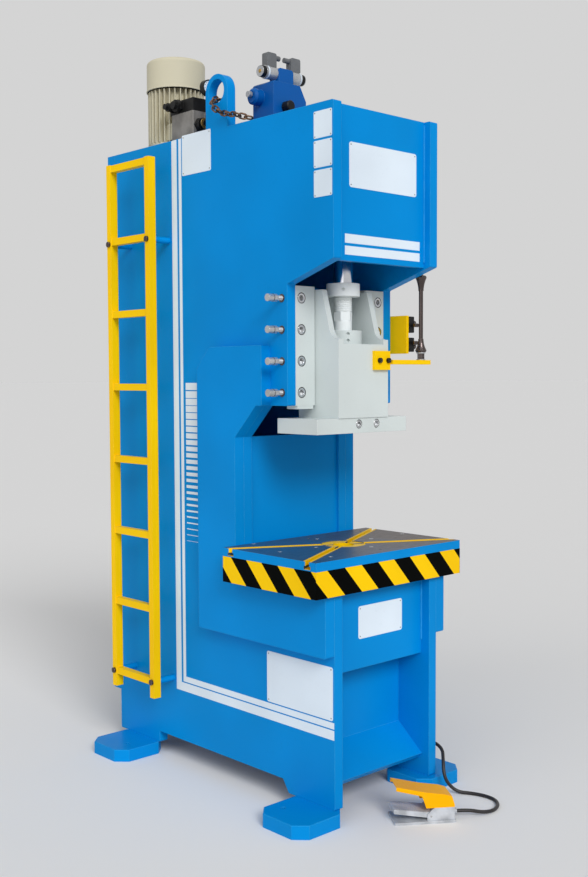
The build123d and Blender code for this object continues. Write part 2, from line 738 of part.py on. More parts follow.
def platen():
    plate = block(-PLATEN_WIDTH / 2, PLATEN_WIDTH / 2, PLATEN_FRONT_DEPTH,
                  PLATEN_FRONT_DEPTH + PLATEN_LENGTH, SLIDE_BOTTOM_Z - PLATEN_T, SLIDE_BOTTOM_Z)
    plate -= Pos(0, RAM_Y, 0) * rod_z(SHANK_R, SLIDE_BOTTOM_Z - PLATEN_T - 1, SLIDE_BOTTOM_Z - 6)
    for x in platen_screw_places:
        plate -= Pos(x, 0, platen_screw_z) * rod_y(M20_R + FIT, PLATEN_FRONT_DEPTH, platen_screw_end + 1)
        plate -= Pos(x, 0, platen_screw_z) * rod_y(M20_HEAD_R + SUNK_MARGIN, PLATEN_FRONT_DEPTH - 1, platen_screw_seat)
    return plate


platen_screw_z = SLIDE_BOTTOM_Z - PLATEN_SCREW_DROP
platen_screw_places = [PLATEN_SCREW_MIDDLE - PLATEN_SCREW_PITCH / 2, PLATEN_SCREW_MIDDLE + PLATEN_SCREW_PITCH / 2]
platen_screw_seat = PLATEN_FRONT_DEPTH + M20_HEAD
platen_screw_end = platen_screw_seat + 2 * M20_HEAD
nodes["platen"] = platen()
platen_screw = cap_screw(M20_R, M20_HEAD_R, M20_HEAD, 2 * M20_HEAD, M20_SOCKET)
platen_screws = [at(x, platen_screw_seat, platen_screw_z) * front_facing * platen_screw
                 for x in platen_screw_places]


# Adjusting screw, its flange on the slide floor, and the collar on the piston rod

def set_screw_hole(radius, z, turn):
    """Cutter for a set screw hole towards the ram axis, turned from the front to the left."""
    hole = Rot(90, 0, 0) * Cylinder(SET_SCREW_R, SET_SCREW_DEPTH * 2)
    return Pos(0, RAM_Y, z) * Rot(0, 0, -turn) * Pos(0, -radius, 0) * hole


collar_top_z = COLLAR_BOTTOM_Z + COLLAR_T
flange = Pos(0, RAM_Y, 0) * (rod_z(FLANGE_R, SLIDE_FLOOR_Z, SLIDE_FLOOR_Z + FLANGE_T)
                             - rod_z(NECK_R + FIT, SLIDE_FLOOR_Z - 1, SLIDE_FLOOR_Z + FLANGE_T + 1))
for rise in FLANGE_SCREW_RISES:
    flange -= set_screw_hole(FLANGE_R, SLIDE_FLOOR_Z + rise, FLANGE_SCREW_TURN)
nodes["slide_flange"] = flange

screw_top_z = COLLAR_BOTTOM_Z + COLLAR_T / 2
flats = Pos(0, 0, (NECK_TOP_Z + FLATS_TOP_Z) / 2) * Rot(0, 0, 30) * hexagon(FLATS, FLATS_TOP_Z - NECK_TOP_Z)
adjusting_screw = rod_z(NECK_R, SLIDE_FLOOR_Z, NECK_TOP_Z) + flats
adjusting_screw += rod_z(SCREW_R, FLATS_TOP_Z, screw_top_z)
nodes["adjusting_screw"] = Pos(0, RAM_Y, 0) * adjusting_screw

collar = rod_z(COLLAR_R, COLLAR_BOTTOM_Z, collar_top_z)
collar = fillet(collar.edges().filter_by(GeomType.CIRCLE), 2)
collar -= rod_z(SCREW_R + FIT, COLLAR_BOTTOM_Z - 1, screw_top_z)
collar -= rod_z(ROD_R + FIT, screw_top_z, collar_top_z + 1)
nodes["rod_collar"] = Pos(0, RAM_Y, 0) * collar - set_screw_hole(
    COLLAR_R, COLLAR_BOTTOM_Z + COLLAR_T / 2, COLLAR_SCREW_TURN)


# Piston rod, piston and cylinder

cap_bottom_z = PISTON_TOP_Z + BARREL_TOP_GAP
flange_bottom_z = MOUNT_PLATE_Z - CYLINDER_FLANGE_T
rod = rod_z(ROD_R, screw_top_z, PISTON_TOP_Z - PISTON_T)
nodes["piston_rod"] = Pos(0, RAM_Y, 0) * rod
piston = rod_z(PISTON_R - SHAFT_GAP, PISTON_TOP_Z - PISTON_T, PISTON_TOP_Z)
nodes["piston"] = Pos(0, RAM_Y, 0) * piston

barrel = rod_z(barrel_r, flange_bottom_z, cap_bottom_z + BARREL_CAP_T)
barrel += rod_z(CYLINDER_FLANGE_R, flange_bottom_z, MOUNT_PLATE_Z)
barrel -= rod_z(PISTON_R, flange_bottom_z - 1, cap_bottom_z)
nodes["cylinder_barrel"] = Pos(0, RAM_Y, 0) * barrel

gland = rod_z(PISTON_R - FIT, flange_bottom_z, flange_bottom_z + GLAND_T)
gland += rod_z(PISTON_R + BARREL_WALL / 2, flange_bottom_z - 8, flange_bottom_z)
gland -= rod_z(ROD_R + SHAFT_GAP, flange_bottom_z - 9, flange_bottom_z + GLAND_T + 1)
nodes["cylinder_gland"] = Pos(0, RAM_Y, 0) * gland


# Trip bracket on the slide, with its rod and cams

def trip_bracket():
    front = SLIDE_FRONT_DEPTH - BRACKET_T
    plate = block(BRACKET_LEFT, BRACKET_LEFT + BRACKET_WIDTH, front, SLIDE_FRONT_DEPTH,
                  BRACKET_BOTTOM_Z, BRACKET_BOTTOM_Z + BRACKET_HEIGHT)
    for x in bracket_screw_places():
        plate -= Pos(x, 0, bracket_mid_z) * rod_y(LADDER_BOLT_R + FIT, front - 1, SLIDE_FRONT_DEPTH + 1)
    arm = block(BRACKET_LEFT + BRACKET_WIDTH - 1, ARM_RIGHT, TRIP_DEPTH - ARM_WIDTH / 2,
                SLIDE_FRONT_DEPTH, ARM_BOTTOM_Z, ARM_BOTTOM_Z + ARM_T)
    ends = arm.edges().filter_by(Axis.Z).sort_by(Axis.X)[-2:]
    arm = fillet(ends, 10)
    arm -= at(TRIP_X, TRIP_DEPTH, 0) * rod_z(TRIP_R + FIT, ARM_BOTTOM_Z - 1, ARM_BOTTOM_Z + ARM_T + 1)
    return plate + arm


nodes["trip_bracket"] = trip_bracket()
bracket_screw = cap_screw(LADDER_BOLT_R, 9, 10, BRACKET_T + 22, 8)
nodes["slide_screws"] = group(
    [at(x, SLIDE_FRONT_DEPTH - BRACKET_T, bracket_mid_z) * front_facing * bracket_screw
     for x in bracket_screw_places()] + platen_screws)

trip_line = at(TRIP_X, TRIP_DEPTH, 0)


def cam(height):
    """Cam sleeve from height 0: a rounded rim, then a hollow flare that narrows to the rod."""
    bore = TRIP_R + FIT
    neck = TRIP_R + CAM_WALL
    middle = (CAM_R + 2 * neck) / 3
    outline = Polyline((neck, height), (bore, height), (bore, 0), (CAM_R - CAM_ROUND, 0))
    outline += ThreePointArc((CAM_R - CAM_ROUND, 0), (CAM_R - CAM_ROUND / 4, CAM_RIM / 2), (CAM_R, CAM_RIM))
    outline += ThreePointArc((CAM_R, CAM_RIM), (middle, (CAM_RIM + height) / 2 - CAM_ROUND), (neck, height))
    return revolve(Plane.XZ * make_face(outline), Axis.Z)


def trip_nut(z0):
    return Pos(0, 0, z0 + TRIP_NUT_T / 2) * hexagon(TRIP_NUT, TRIP_NUT_T) - rod_z(
        TRIP_R + FIT, z0 - 1, z0 + TRIP_NUT_T + 1)


cams = [trip_line * Pos(0, 0, LOW_CAM_Z) * cam(LOW_CAM_T),
        trip_line * Pos(0, 0, HIGH_CAM_Z + HIGH_CAM_T) * Rot(180, 0, 0) * cam(HIGH_CAM_T)]
nut_places = [ARM_BOTTOM_Z + ARM_T, LOW_CAM_Z - TRIP_NUT_T]
nodes["trip_rod"] = group([trip_line * rod_z(TRIP_R, ARM_BOTTOM_Z, TRIP_TOP_Z)]
                          + cams + [trip_line * trip_nut(z) for z in nut_places])


# Switch plate with two roller lever switches

switch_x = HALF_OUT + SWITCH_PLATE_T
nodes["switch_plate"] = block(HALF_OUT, switch_x, SWITCH_PLATE_FRONT, SWITCH_PLATE_REAR,
                              SWITCH_PLATE_BOTTOM_Z, SWITCH_PLATE_BOTTOM_Z + SWITCH_PLATE_HEIGHT)


def switch_body(z, length, hub_z):
    """Switch housing on the outer face of the plate."""
    body = block(switch_x, switch_x + SWITCH_W, SWITCH_FRONT, SWITCH_FRONT + SWITCH_DEPTH,
                 z - length / 2, z + length / 2)
    body = fillet(body.edges().filter_by(Axis.Y), 4)
    bore = rod_x(LEVER_PIN_R + SHAFT_GAP, lever_x - LEVER_PIN_LENGTH - 1, lever_x)
    return body - at(0, hub_depth, hub_z) * bore


def lever(hub_z, tilt):
    """Lever on its pin, with a roller that stays just off the cams at any angle."""
    length = hub_depth - (TRIP_DEPTH + CAM_R + CAM_CLEARANCE + ROLLER_R)
    arm = Pos(0, -length / 2, 0) * extrude(Plane.YZ * SlotCenterToCenter(length, LEVER_W), LEVER_T, dir=(1, 0, 0))
    arm = Pos(lever_x, 0, 0) * arm + rod_x(LEVER_HUB_R, lever_x, lever_x + LEVER_HUB_T)
    arm += rod_x(LEVER_PIN_R, lever_x - LEVER_PIN_LENGTH, lever_x)
    arm += Pos(0, -length, 0) * rod_x(ROLLER_R, TRIP_X - ROLLER_T / 2, lever_x + LEVER_T)
    return at(0, hub_depth, hub_z) * Rot(-tilt, 0, 0) * arm


hub_depth = SWITCH_FRONT + LEVER_SET_BACK
lever_x = switch_x + SWITCH_W + 1
nodes["limit_switches"] = group([switch_body(UPPER_SWITCH_Z, UPPER_SWITCH_L, UPPER_HUB_Z),
                                 switch_body(LOWER_SWITCH_Z, LOWER_SWITCH_L, LOWER_HUB_Z)])
nodes["upper_switch_lever"] = lever(UPPER_HUB_Z, UPPER_LEVER_TILT)
nodes["lower_switch_lever"] = lever(LOWER_HUB_Z, LOWER_LEVER_TILT)


# Deck, tank, motor and pump

motor_line = at(MOTOR_X, MOTOR_DEPTH, 0)
deck_top_z = DECK_Z + DECK_T
bell_r = BELL_R
bell_bottom_z = DECK_Z - BELL_DROP
pressure_pipe_x = 52.0
return_pipe_x = 90.0
return_pipe_depth = FRAME_DEPTH - RETURN_PIPE_BACK
rod_end_pipe_x = 30.0
rod_end_pipe_depth = 420.0


def deck():
    plate = cross_plate(HEAD_PANEL_RECESS + PANEL_T + WELD_GAP, FRAME_DEPTH - WELD_GAP, DECK_Z, deck_top_z)
    holes = [(0, RAM_DEPTH, barrel_r + 1), (MOTOR_X, MOTOR_DEPTH, bell_r + 1),
             (pressure_pipe_x, MOTOR_DEPTH, PIPE_R + 2), (return_pipe_x, return_pipe_depth, PIPE_R + 2),
             (rod_end_pipe_x, rod_end_pipe_depth, PIPE_R + 2)]
    for x, depth, radius in holes:
        plate -= at(x, depth, 0) * rod_z(radius, DECK_Z - 1, deck_top_z + 1)
    return plate


def tank():
    outer = cross_plate(TANK_FRONT_DEPTH, FRAME_DEPTH - WELD_GAP, TANK_BOTTOM_Z, DECK_Z - WELD_GAP)
    inner = block(-HALF_IN + TANK_WALL, HALF_IN - TANK_WALL, TANK_FRONT_DEPTH + TANK_WALL,
                  FRAME_DEPTH - TANK_WALL, TANK_BOTTOM_Z + TANK_WALL, DECK_Z + 1)
    return outer - inner


nodes["deck_plate"] = deck()
nodes["oil_tank"] = tank()


def motor_housing():
    """Finned housing with its flange, end shield and terminal box neck."""
    shield_top = MOTOR_FLANGE_Z + MOTOR_FLANGE_T + MOTOR_SHIELD_T
    section = Circle(MOTOR_CORE_R)
    for i in range(MOTOR_FIN_COUNT):
        reach = (MOTOR_FIN_R - MOTOR_CORE_R) + 6
        fin = Pos(MOTOR_FIN_R - reach / 2, 0) * Rectangle(reach, MOTOR_FIN_T)
        section += Rot(0, 0, (i + 0.5) * 360 / MOTOR_FIN_COUNT) * fin
    body = Pos(0, 0, shield_top) * extrude(section, MOTOR_FIN_TOP_Z - shield_top)
    body += rod_z(MOTOR_FLANGE_R, MOTOR_FLANGE_Z, MOTOR_FLANGE_Z + MOTOR_FLANGE_T)
    body += rod_z(MOTOR_FIN_R - 4, MOTOR_FLANGE_Z + MOTOR_FLANGE_T, shield_top)
    body = motor_line * body
    box_z = (BOX_TOP_Z - BOX_HEIGHT, BOX_TOP_Z)
    box_back = BOX_FRONT_DEPTH + BOX_LENGTH
    body -= block(BOX_LEFT, BOX_LEFT + BOX_WIDTH, BOX_FRONT_DEPTH, box_back, *box_z)
    body += block(BOX_LEFT + BOX_NECK_INSET, MOTOR_X, box_back, MOTOR_DEPTH - MOTOR_CORE_R / 3,
                  box_z[0] + BOX_NECK_INSET, box_z[1] - BOX_NECK_INSET)
    cavity = rod_z(MOTOR_CORE_R - 10, shield_top, MOTOR_FIN_TOP_Z - 14)
    cavity += rod_z(MOTOR_SHAFT_R + SHAFT_GAP, MOTOR_FLANGE_Z - 1, MOTOR_FIN_TOP_Z + 1)
    return body - motor_line * cavity


stator_bottom_z = MOTOR_FLANGE_Z + MOTOR_FLANGE_T + MOTOR_SHIELD_T + 24
stator_top_z = MOTOR_FIN_TOP_Z - 40
fan_z = MOTOR_FIN_TOP_Z + 22
shaft_bottom_z = MOTOR_FLANGE_Z - SHAFT_DROP
nodes["motor_housing"] = motor_housing()
nodes["motor_stator"] = motor_line * (
    rod_z(MOTOR_CORE_R - 10 - FIT, stator_bottom_z, stator_top_z)
    - rod_z(MOTOR_CORE_R - 40, stator_bottom_z - 1, stator_top_z + 1))
rotor = rod_z(MOTOR_SHAFT_R, shaft_bottom_z, fan_z + FAN_T + 6)
rotor += rod_z(MOTOR_CORE_R - 41, stator_bottom_z, stator_top_z)
nodes["motor_rotor"] = motor_line * rotor


def fan():
    wheel = rod_z(22, fan_z, fan_z + FAN_T)
    wheel += rod_z(FAN_R, fan_z, fan_z + 3)
    for i in range(FAN_BLADES):
        blade = Pos(FAN_R / 2 + 8, 0, fan_z + FAN_T / 2) * Box(FAN_R - 22, 3, FAN_T)
        wheel += Rot(0, 0, i * 360 / FAN_BLADES) * blade
    return wheel - rod_z(MOTOR_SHAFT_R + FIT, fan_z - 1, fan_z + FAN_T + 1)


nodes["motor_fan"] = motor_line * fan()


def cowl():
    """Fan cowl: an open drum with a rounded top edge and a ring of air slots."""
    drum = rod_z(COWL_R, COWL_BOTTOM_Z, COWL_TOP_Z)
    drum = fillet(drum.edges().filter_by(GeomType.CIRCLE).sort_by(Axis.Z)[-1], COWL_EDGE_R)
    hollow = rod_z(COWL_R - COWL_WALL, COWL_BOTTOM_Z - 1, COWL_TOP_Z - COWL_WALL)
    hollow = fillet(hollow.edges().filter_by(GeomType.CIRCLE).sort_by(Axis.Z)[-1], COWL_EDGE_R - COWL_WALL)
    drum -= hollow
    for i in range(20):
        slot = Pos(58, 0, COWL_TOP_Z) * extrude(SlotOverall(56, 7), 8, both=True)
        drum -= Rot(0, 0, i * 18) * slot
    foot_start = MOTOR_CORE_R - 6
    foot_end = COWL_R - COWL_WALL / 2
    foot = Pos((foot_start + foot_end) / 2, 0, MOTOR_FIN_TOP_Z + COWL_FOOT_T / 2)
    for i in range(4):
        drum += Rot(0, 0, 45 + i * 90) * foot * Box(foot_end - foot_start, COWL_FOOT_WIDTH, COWL_FOOT_T)
    return drum


nodes["fan_cowl"] = motor_line * cowl()

bell = rod_z(MOTOR_FLANGE_R - 4, MOTOR_FLANGE_Z - 14, MOTOR_FLANGE_Z)
bell += rod_z(bell_r, bell_bottom_z, MOTOR_FLANGE_Z) + rod_z(bell_r + 22, deck_top_z, deck_top_z + 12)
bell -= rod_z(bell_r - BELL_WALL, bell_bottom_z + 12, MOTOR_FLANGE_Z + 1)
bell -= rod_z(24, bell_bottom_z - 1, bell_bottom_z + 13)
nodes["bellhousing"] = motor_line * bell

coupling_top_z = MOTOR_FLANGE_Z - COUPLING_DROP
coupling = rod_z(COUPLING_R, coupling_top_z - COUPLING_LENGTH, coupling_top_z)
coupling -= rod_z(MOTOR_SHAFT_R + FIT, shaft_bottom_z, coupling_top_z + 1)
pump_shaft = rod_z(PUMP_SHAFT_R, bell_bottom_z - 40, shaft_bottom_z - 2)
nodes["pump_coupling"] = motor_line * (coupling + pump_shaft)

pump_bottom_z = bell_bottom_z - PUMP_T
pump = rod_z(PUMP_R, pump_bottom_z, bell_bottom_z) + rod_z(PUMP_R + 14, bell_bottom_z - 16, bell_bottom_z)
pump -= rod_z(PUMP_SHAFT_R + SHAFT_GAP, bell_bottom_z - 41, bell_bottom_z + 1)
suction = rod_z(SUCTION_R, pump_bottom_z - SUCTION_LENGTH, pump_bottom_z)
suction += rod_z(STRAINER_R, pump_bottom_z - SUCTION_LENGTH - STRAINER_T, pump_bottom_z - SUCTION_LENGTH)
nodes["oil_pump"] = motor_line * pump
suction_line = motor_line * suction


# Terminal box, its upper junction bar and glands

def turned_x(shape):
    """Turns an upright shape so that its top points to -X."""
    return Rot(0, -90, 0) * shape


def cable_gland(radius, length):
    """Upright gland: hexagon, domed nut and a smaller nose."""
    third = length / 3
    piece = Pos(0, 0, third / 2) * hexagon(radius * 1.8, third)
    piece += rod_z(radius * 0.92, third, 2 * third)
    return piece + rod_z(radius * 0.6, 2 * third, length)


box_rear = BOX_FRONT_DEPTH + BOX_LENGTH
box_right = BOX_LEFT + BOX_WIDTH
box_bottom_z = BOX_TOP_Z - BOX_HEIGHT
box_body = block(BOX_LEFT, box_right, BOX_FRONT_DEPTH, box_rear, box_bottom_z, BOX_TOP_Z)
box_body = fillet(box_body.edges().filter_by(Axis.Z), BOX_EDGE_R)
nodes["terminal_box"] = box_body
bar_left = BOX_LEFT + BAR_MARGIN
bar_front = BOX_FRONT_DEPTH + BAR_MARGIN
gland_z = BOX_TOP_Z + SIDE_GLAND_RISE
bar = block(bar_left, bar_left + BAR_WIDTH / 2, bar_front, box_rear + 2 * BAR_MARGIN, BOX_TOP_Z, BOX_TOP_Z + BAR_HEIGHT)
bar += block(bar_left, box_right - BAR_MARGIN, bar_front, bar_front + BAR_WIDTH, BOX_TOP_Z, BOX_TOP_Z + BAR_HEIGHT)
front_gland = at(BOX_LEFT + GLAND_R + BAR_MARGIN, BOX_FRONT_DEPTH, BOX_TOP_Z - BOX_HEIGHT / 2)
front_gland *= front_facing * cable_gland(GLAND_R, GLAND_LENGTH)
side_gland = at(bar_left, BOX_FRONT_DEPTH + SIDE_GLAND_BACK, gland_z) * turned_x(cable_gland(GLAND_R, GLAND_LENGTH))
small_gland = at(bar_left, BOX_FRONT_DEPTH + SMALL_GLAND_BACK, gland_z)
small_gland *= turned_x(cable_gland(SMALL_GLAND_R, SMALL_GLAND_LENGTH))
nodes["terminal_glands"] = group([bar, front_gland, side_gland, small_gland])

stem = rod_z(GAUGE_STEM_R, deck_top_z, GAUGE_Z - GAUGE_R + 4)
dial = Rot(90, 0, 0) * (rod_z(GAUGE_R, -GAUGE_T / 2, GAUGE_T / 2) - rod_z(GAUGE_R - 4, GAUGE_T / 2 - 3, GAUGE_T))
nodes["pressure_gauge"] = at(GAUGE_X, GAUGE_DEPTH, 0) * (stem + Pos(0, 0, GAUGE_Z) * dial)


# Valve stack on its manifold

manifold_rear = MANIFOLD_FRONT_DEPTH + MANIFOLD_LENGTH
valve_front = MANIFOLD_FRONT_DEPTH + VALVE_SET_BACK
valve_rear = valve_front + VALVE_LENGTH
solenoid_depth = valve_front + VALVE_LENGTH / 2
valve_left = VALVE_MIDDLE_X - VALVE_WIDTH / 2
valve_right = VALVE_MIDDLE_X + VALVE_WIDTH / 2
lobe_depth = manifold_rear - LOBE_R - MANIFOLD_CHAMFER
left_end = MANIFOLD_LEFT - LOBE_LENGTH


def manifold():
    corners = [
        (MANIFOLD_LEFT, deck_top_z), (MANIFOLD_RIGHT, deck_top_z),
        (MANIFOLD_RIGHT, MANIFOLD_TOP_Z - MANIFOLD_SLOPE_DROP), (MANIFOLD_RIGHT - MANIFOLD_SLOPE_WIDTH, MANIFOLD_TOP_Z),
        (MANIFOLD_LEFT + MANIFOLD_CHAMFER, MANIFOLD_TOP_Z), (MANIFOLD_LEFT, MANIFOLD_TOP_Z - MANIFOLD_CHAMFER),
    ]
    sheet = Plane.XZ * make_face(Polyline(*corners, close=True))
    body = at(0, MANIFOLD_FRONT_DEPTH, 0) * extrude(sheet, amount=MANIFOLD_LENGTH, dir=(0, 1, 0))
    lobe = Pos(MANIFOLD_LEFT - LOBE_LENGTH, 0, 0) * rod_x(LOBE_R, 0, LOBE_LENGTH + 1)
    lobe = chamfer(lobe.edges().filter_by(GeomType.CIRCLE).sort_by(Axis.X)[0], 8)
    body += at(0, lobe_depth, LOBE_Z) * lobe
    body -= at(FLOW_KNOB_X, 0, FLOW_KNOB_Z) * Pos(0, -FRONT_Y, 0) * rod_y(
        KNOB_STEM_R + SHAFT_GAP, MANIFOLD_FRONT_DEPTH - 1, MANIFOLD_FRONT_DEPTH + 20)
    return body - at(0, lobe_depth, RELIEF_KNOB_Z) * rod_x(KNOB_STEM_R + SHAFT_GAP, left_end - 1, left_end + 20)


def valve_body():
    body = block(valve_left, valve_right, valve_front, valve_rear, MANIFOLD_TOP_Z, MANIFOLD_TOP_Z + VALVE_HEIGHT)
    return chamfer(body.edges().filter_by(Axis.Y).sort_by(Axis.Z)[-2:], 8)


def solenoid(x_start, side):
    """Coil with its end cap, growing outwards from the valve body."""
    coil_end = x_start + side * SOLENOID_LENGTH
    cap_end = coil_end + side * SOLENOID_CAP_T
    coil = rod_x(SOLENOID_R, min(x_start, coil_end), max(x_start, coil_end))
    cap = rod_x(SOLENOID_CAP_R, min(coil_end, cap_end), max(coil_end, cap_end))
    return [at(0, solenoid_depth, SOLENOID_Z) * piece for piece in (coil, cap)]


def plug(x_centre, gland_side):
    """Plug on a coil, with a gland to one side."""
    plug_z = SOLENOID_Z + SOLENOID_R
    body = block(x_centre - PLUG_WIDTH / 2, x_centre + PLUG_WIDTH / 2, solenoid_depth - PLUG_LENGTH / 2,
                 solenoid_depth + PLUG_LENGTH / 2, plug_z - 4, plug_z + PLUG_HEIGHT)
    body = fillet(body.edges().filter_by(Axis.Y).sort_by(Axis.Z)[-2:], 8)
    x0 = x_centre + gland_side * PLUG_WIDTH / 2
    x1 = x0 + gland_side * PLUG_GLAND_LENGTH
    nose_z = plug_z + PLUG_HEIGHT - PLUG_GLAND_R - 3
    nose = at(0, solenoid_depth, nose_z) * rod_x(PLUG_GLAND_R, min(x0, x1), max(x0, x1))
    seat = at(0, solenoid_depth, SOLENOID_Z) * rod_x(SOLENOID_R + FIT, x_centre - PLUG_WIDTH, x_centre + PLUG_WIDTH)
    return body - seat + nose


nodes["valve_manifold"] = manifold()
nodes["directional_valve"] = valve_body()
nodes["solenoids"] = group(solenoid(valve_left, -1) + solenoid(valve_right, 1))
nodes["solenoid_plugs"] = group([plug(valve_left - PLUG_OUT, 1), plug(valve_right + PLUG_OUT, -1)])

knob = rod_y(FLOW_KNOB_R, MANIFOLD_FRONT_DEPTH - 4 - FLOW_KNOB_T, MANIFOLD_FRONT_DEPTH - 4)
knob = chamfer(knob.edges().filter_by(GeomType.CIRCLE).sort_by(Axis.Y)[0], 4)
knob += rod_y(KNOB_STEM_R, MANIFOLD_FRONT_DEPTH - 5, MANIFOLD_FRONT_DEPTH + 19)
nodes["flow_knob"] = Pos(FLOW_KNOB_X, 0, FLOW_KNOB_Z) * knob
relief = rod_x(RELIEF_KNOB_R, left_end - 3 - RELIEF_KNOB_T, left_end - 3)
relief += rod_x(KNOB_STEM_R, left_end - 4, left_end + 19)
nodes["relief_knob"] = at(0, lobe_depth, RELIEF_KNOB_Z) * relief


# Hydraulic pipes between pump, manifold and cylinder

def pipe(points):
    """Round pipe along (x, depth, z) corners with tangent bends."""
    path = FilletPolyline(*[(x, FRONT_Y + d, z) for x, d, z in points], radius=PIPE_BEND)
    start = Plane(origin=path @ 0, z_dir=path % 0)
    return sweep(start * Circle(PIPE_R), path=path)


pipe_z = DECK_Z + PIPE_RISE
bore_pipe = pipe([(-25, MANIFOLD_FRONT_DEPTH, pipe_z), (-25, RAM_DEPTH + 10, pipe_z),
                  (-25, RAM_DEPTH + 10, cap_bottom_z + BARREL_CAP_T)])
rod_end_pipe = pipe([
    (rod_end_pipe_x, MANIFOLD_FRONT_DEPTH, pipe_z), (rod_end_pipe_x, rod_end_pipe_depth, pipe_z),
    (rod_end_pipe_x, rod_end_pipe_depth, 2160), (rod_end_pipe_x, RAM_DEPTH + barrel_r - 2, 2160)])
pressure_pipe = pipe([
    (MOTOR_X + PUMP_R - 1, MOTOR_DEPTH, 2310), (pressure_pipe_x, MOTOR_DEPTH, 2310),
    (pressure_pipe_x, MOTOR_DEPTH, pipe_z), (pressure_pipe_x, manifold_rear, pipe_z)])
return_pipe = pipe([
    (return_pipe_x, manifold_rear, pipe_z), (return_pipe_x, return_pipe_depth, pipe_z),
    (return_pipe_x, return_pipe_depth, 2200)])
rod_end_pipe -= nodes["cylinder_barrel"]
pressure_pipe -= nodes["oil_pump"]
nodes["hydraulic_pipes"] = group([bore_pipe, rod_end_pipe, pressure_pipe, return_pipe, suction_line])


# Ladder

ladder_inner_x = -HALF_OUT - LADDER_OFFSET
ladder_x = ladder_inner_x - STILE_WIDTH / 2
stile_bottom_z = LOW_RUNG_Z - STILE_BELOW
stile_top_z = LOW_RUNG_Z + (RUNG_COUNT - 1) * RUNG_PITCH + RUNG_T / 2 + 2
stile_depths = [STILE_FRONT_DEPTH, STILE_FRONT_DEPTH + LADDER_WIDTH - STILE_T]


def ladder():
    body = None
    for depth in stile_depths:
        stile = block(ladder_x - STILE_WIDTH / 2, ladder_x + STILE_WIDTH / 2, depth, depth + STILE_T,
                      stile_bottom_z, stile_top_z)
        body = stile if body is None else body + stile
    for i in range(RUNG_COUNT):
        z = LOW_RUNG_Z + i * RUNG_PITCH
        body += block(ladder_x - RUNG_T / 2, ladder_x + RUNG_T / 2, stile_depths[0] + STILE_T - 1,
                      stile_depths[1] + 1, z - RUNG_T / 2, z + RUNG_T / 2)
    return body


nodes["ladder"] = ladder()
standoffs = []
for z in (LOW_RUNG_Z, LOW_RUNG_Z + (RUNG_COUNT - 2) * RUNG_PITCH - UPPER_STANDOFF_DROP):
    for depth in stile_depths:
        middle = at(0, depth + STILE_T / 2, z)
        standoffs.append(middle * rod_x(STANDOFF_R, ladder_inner_x, -HALF_OUT))
        head = Rot(0, 90, 0) * hexagon(LADDER_BOLT_HEAD, LADDER_BOLT_HEAD_T)
        standoffs.append(middle * Pos(ladder_x - (STILE_WIDTH + LADDER_BOLT_HEAD_T) / 2, 0, 0) * head)
nodes["ladder_fixings"] = group(standoffs)


# Lifting chain through the left lug

def link():
    """One link in the XY plane, its long way along X."""
    run = LINK_PITCH + 2 * LINK_WIRE_R - LINK_WIDTH + LINK_SLACK
    path = SlotCenterToCenter(run, LINK_WIDTH).face().outer_wire()
    return sweep(Plane(origin=path @ 0, z_dir=path % 0) * Circle(LINK_WIRE_R), path=path)


# Points where one link hangs in the next: X, depth and height, from behind the lug to the top edge
CHAIN = [
    (-207, 640, 2621), (-221, 638, 2638.4), (-242, 636, 2646.4), (-265, 636, 2646.4), (-286, 634, 2638.4),
    (-301, 625, 2623), (-304, 611, 2605), (-300, 594, 2590), (-293, 574, 2580), (-290, 552, 2572),
    (-289, 529, 2568), (-287, 507, 2563), (-280, 487, 2557), (-265, 471, 2551), (-245, 461, 2548),
]


def chain():
    corners = [Vector(x, FRONT_Y + d, z) for x, d, z in CHAIN]
    joint = corners[0]
    normal = Vector(0, 1, 0)
    links = []
    for before, after in zip(corners, corners[1:]):
        along = (after - before).normalized()
        normal = along.cross(normal).normalized()
        links.append(Plane(origin=joint + along * (LINK_PITCH / 2), x_dir=along, z_dir=normal) * link())
        joint = joint + along * LINK_PITCH
    return links


chain_links = chain()
for first, second in zip(chain_links, chain_links[1:]):
    shared = first & second
    if shared and shared.volume > 0.01:
        print("links overlap", round(shared.volume, 2))
nodes["lifting_chain"] = group(chain_links)


# Foot switch

def on_foot(shape):
    return at(FOOT_X, FOOT_DEPTH, 0) * Rot(0, 0, FOOT_ANGLE) * shape


def foot_profile(corners, width):
    """Solid from (length, height) corners, centred across the foot switch."""
    sheet = Plane.XZ * make_face(Polyline(*corners, close=True))
    return Pos(0, -width / 2, 0) * extrude(sheet, amount=width, dir=(0, 1, 0))


def foot_base():
    tray = Pos(0, 0, FOOT_BASE_T / 2) * Box(FOOT_LENGTH, FOOT_WIDTH, FOOT_BASE_T)
    return chamfer(tray.edges().filter_by(Axis.Z), 3)


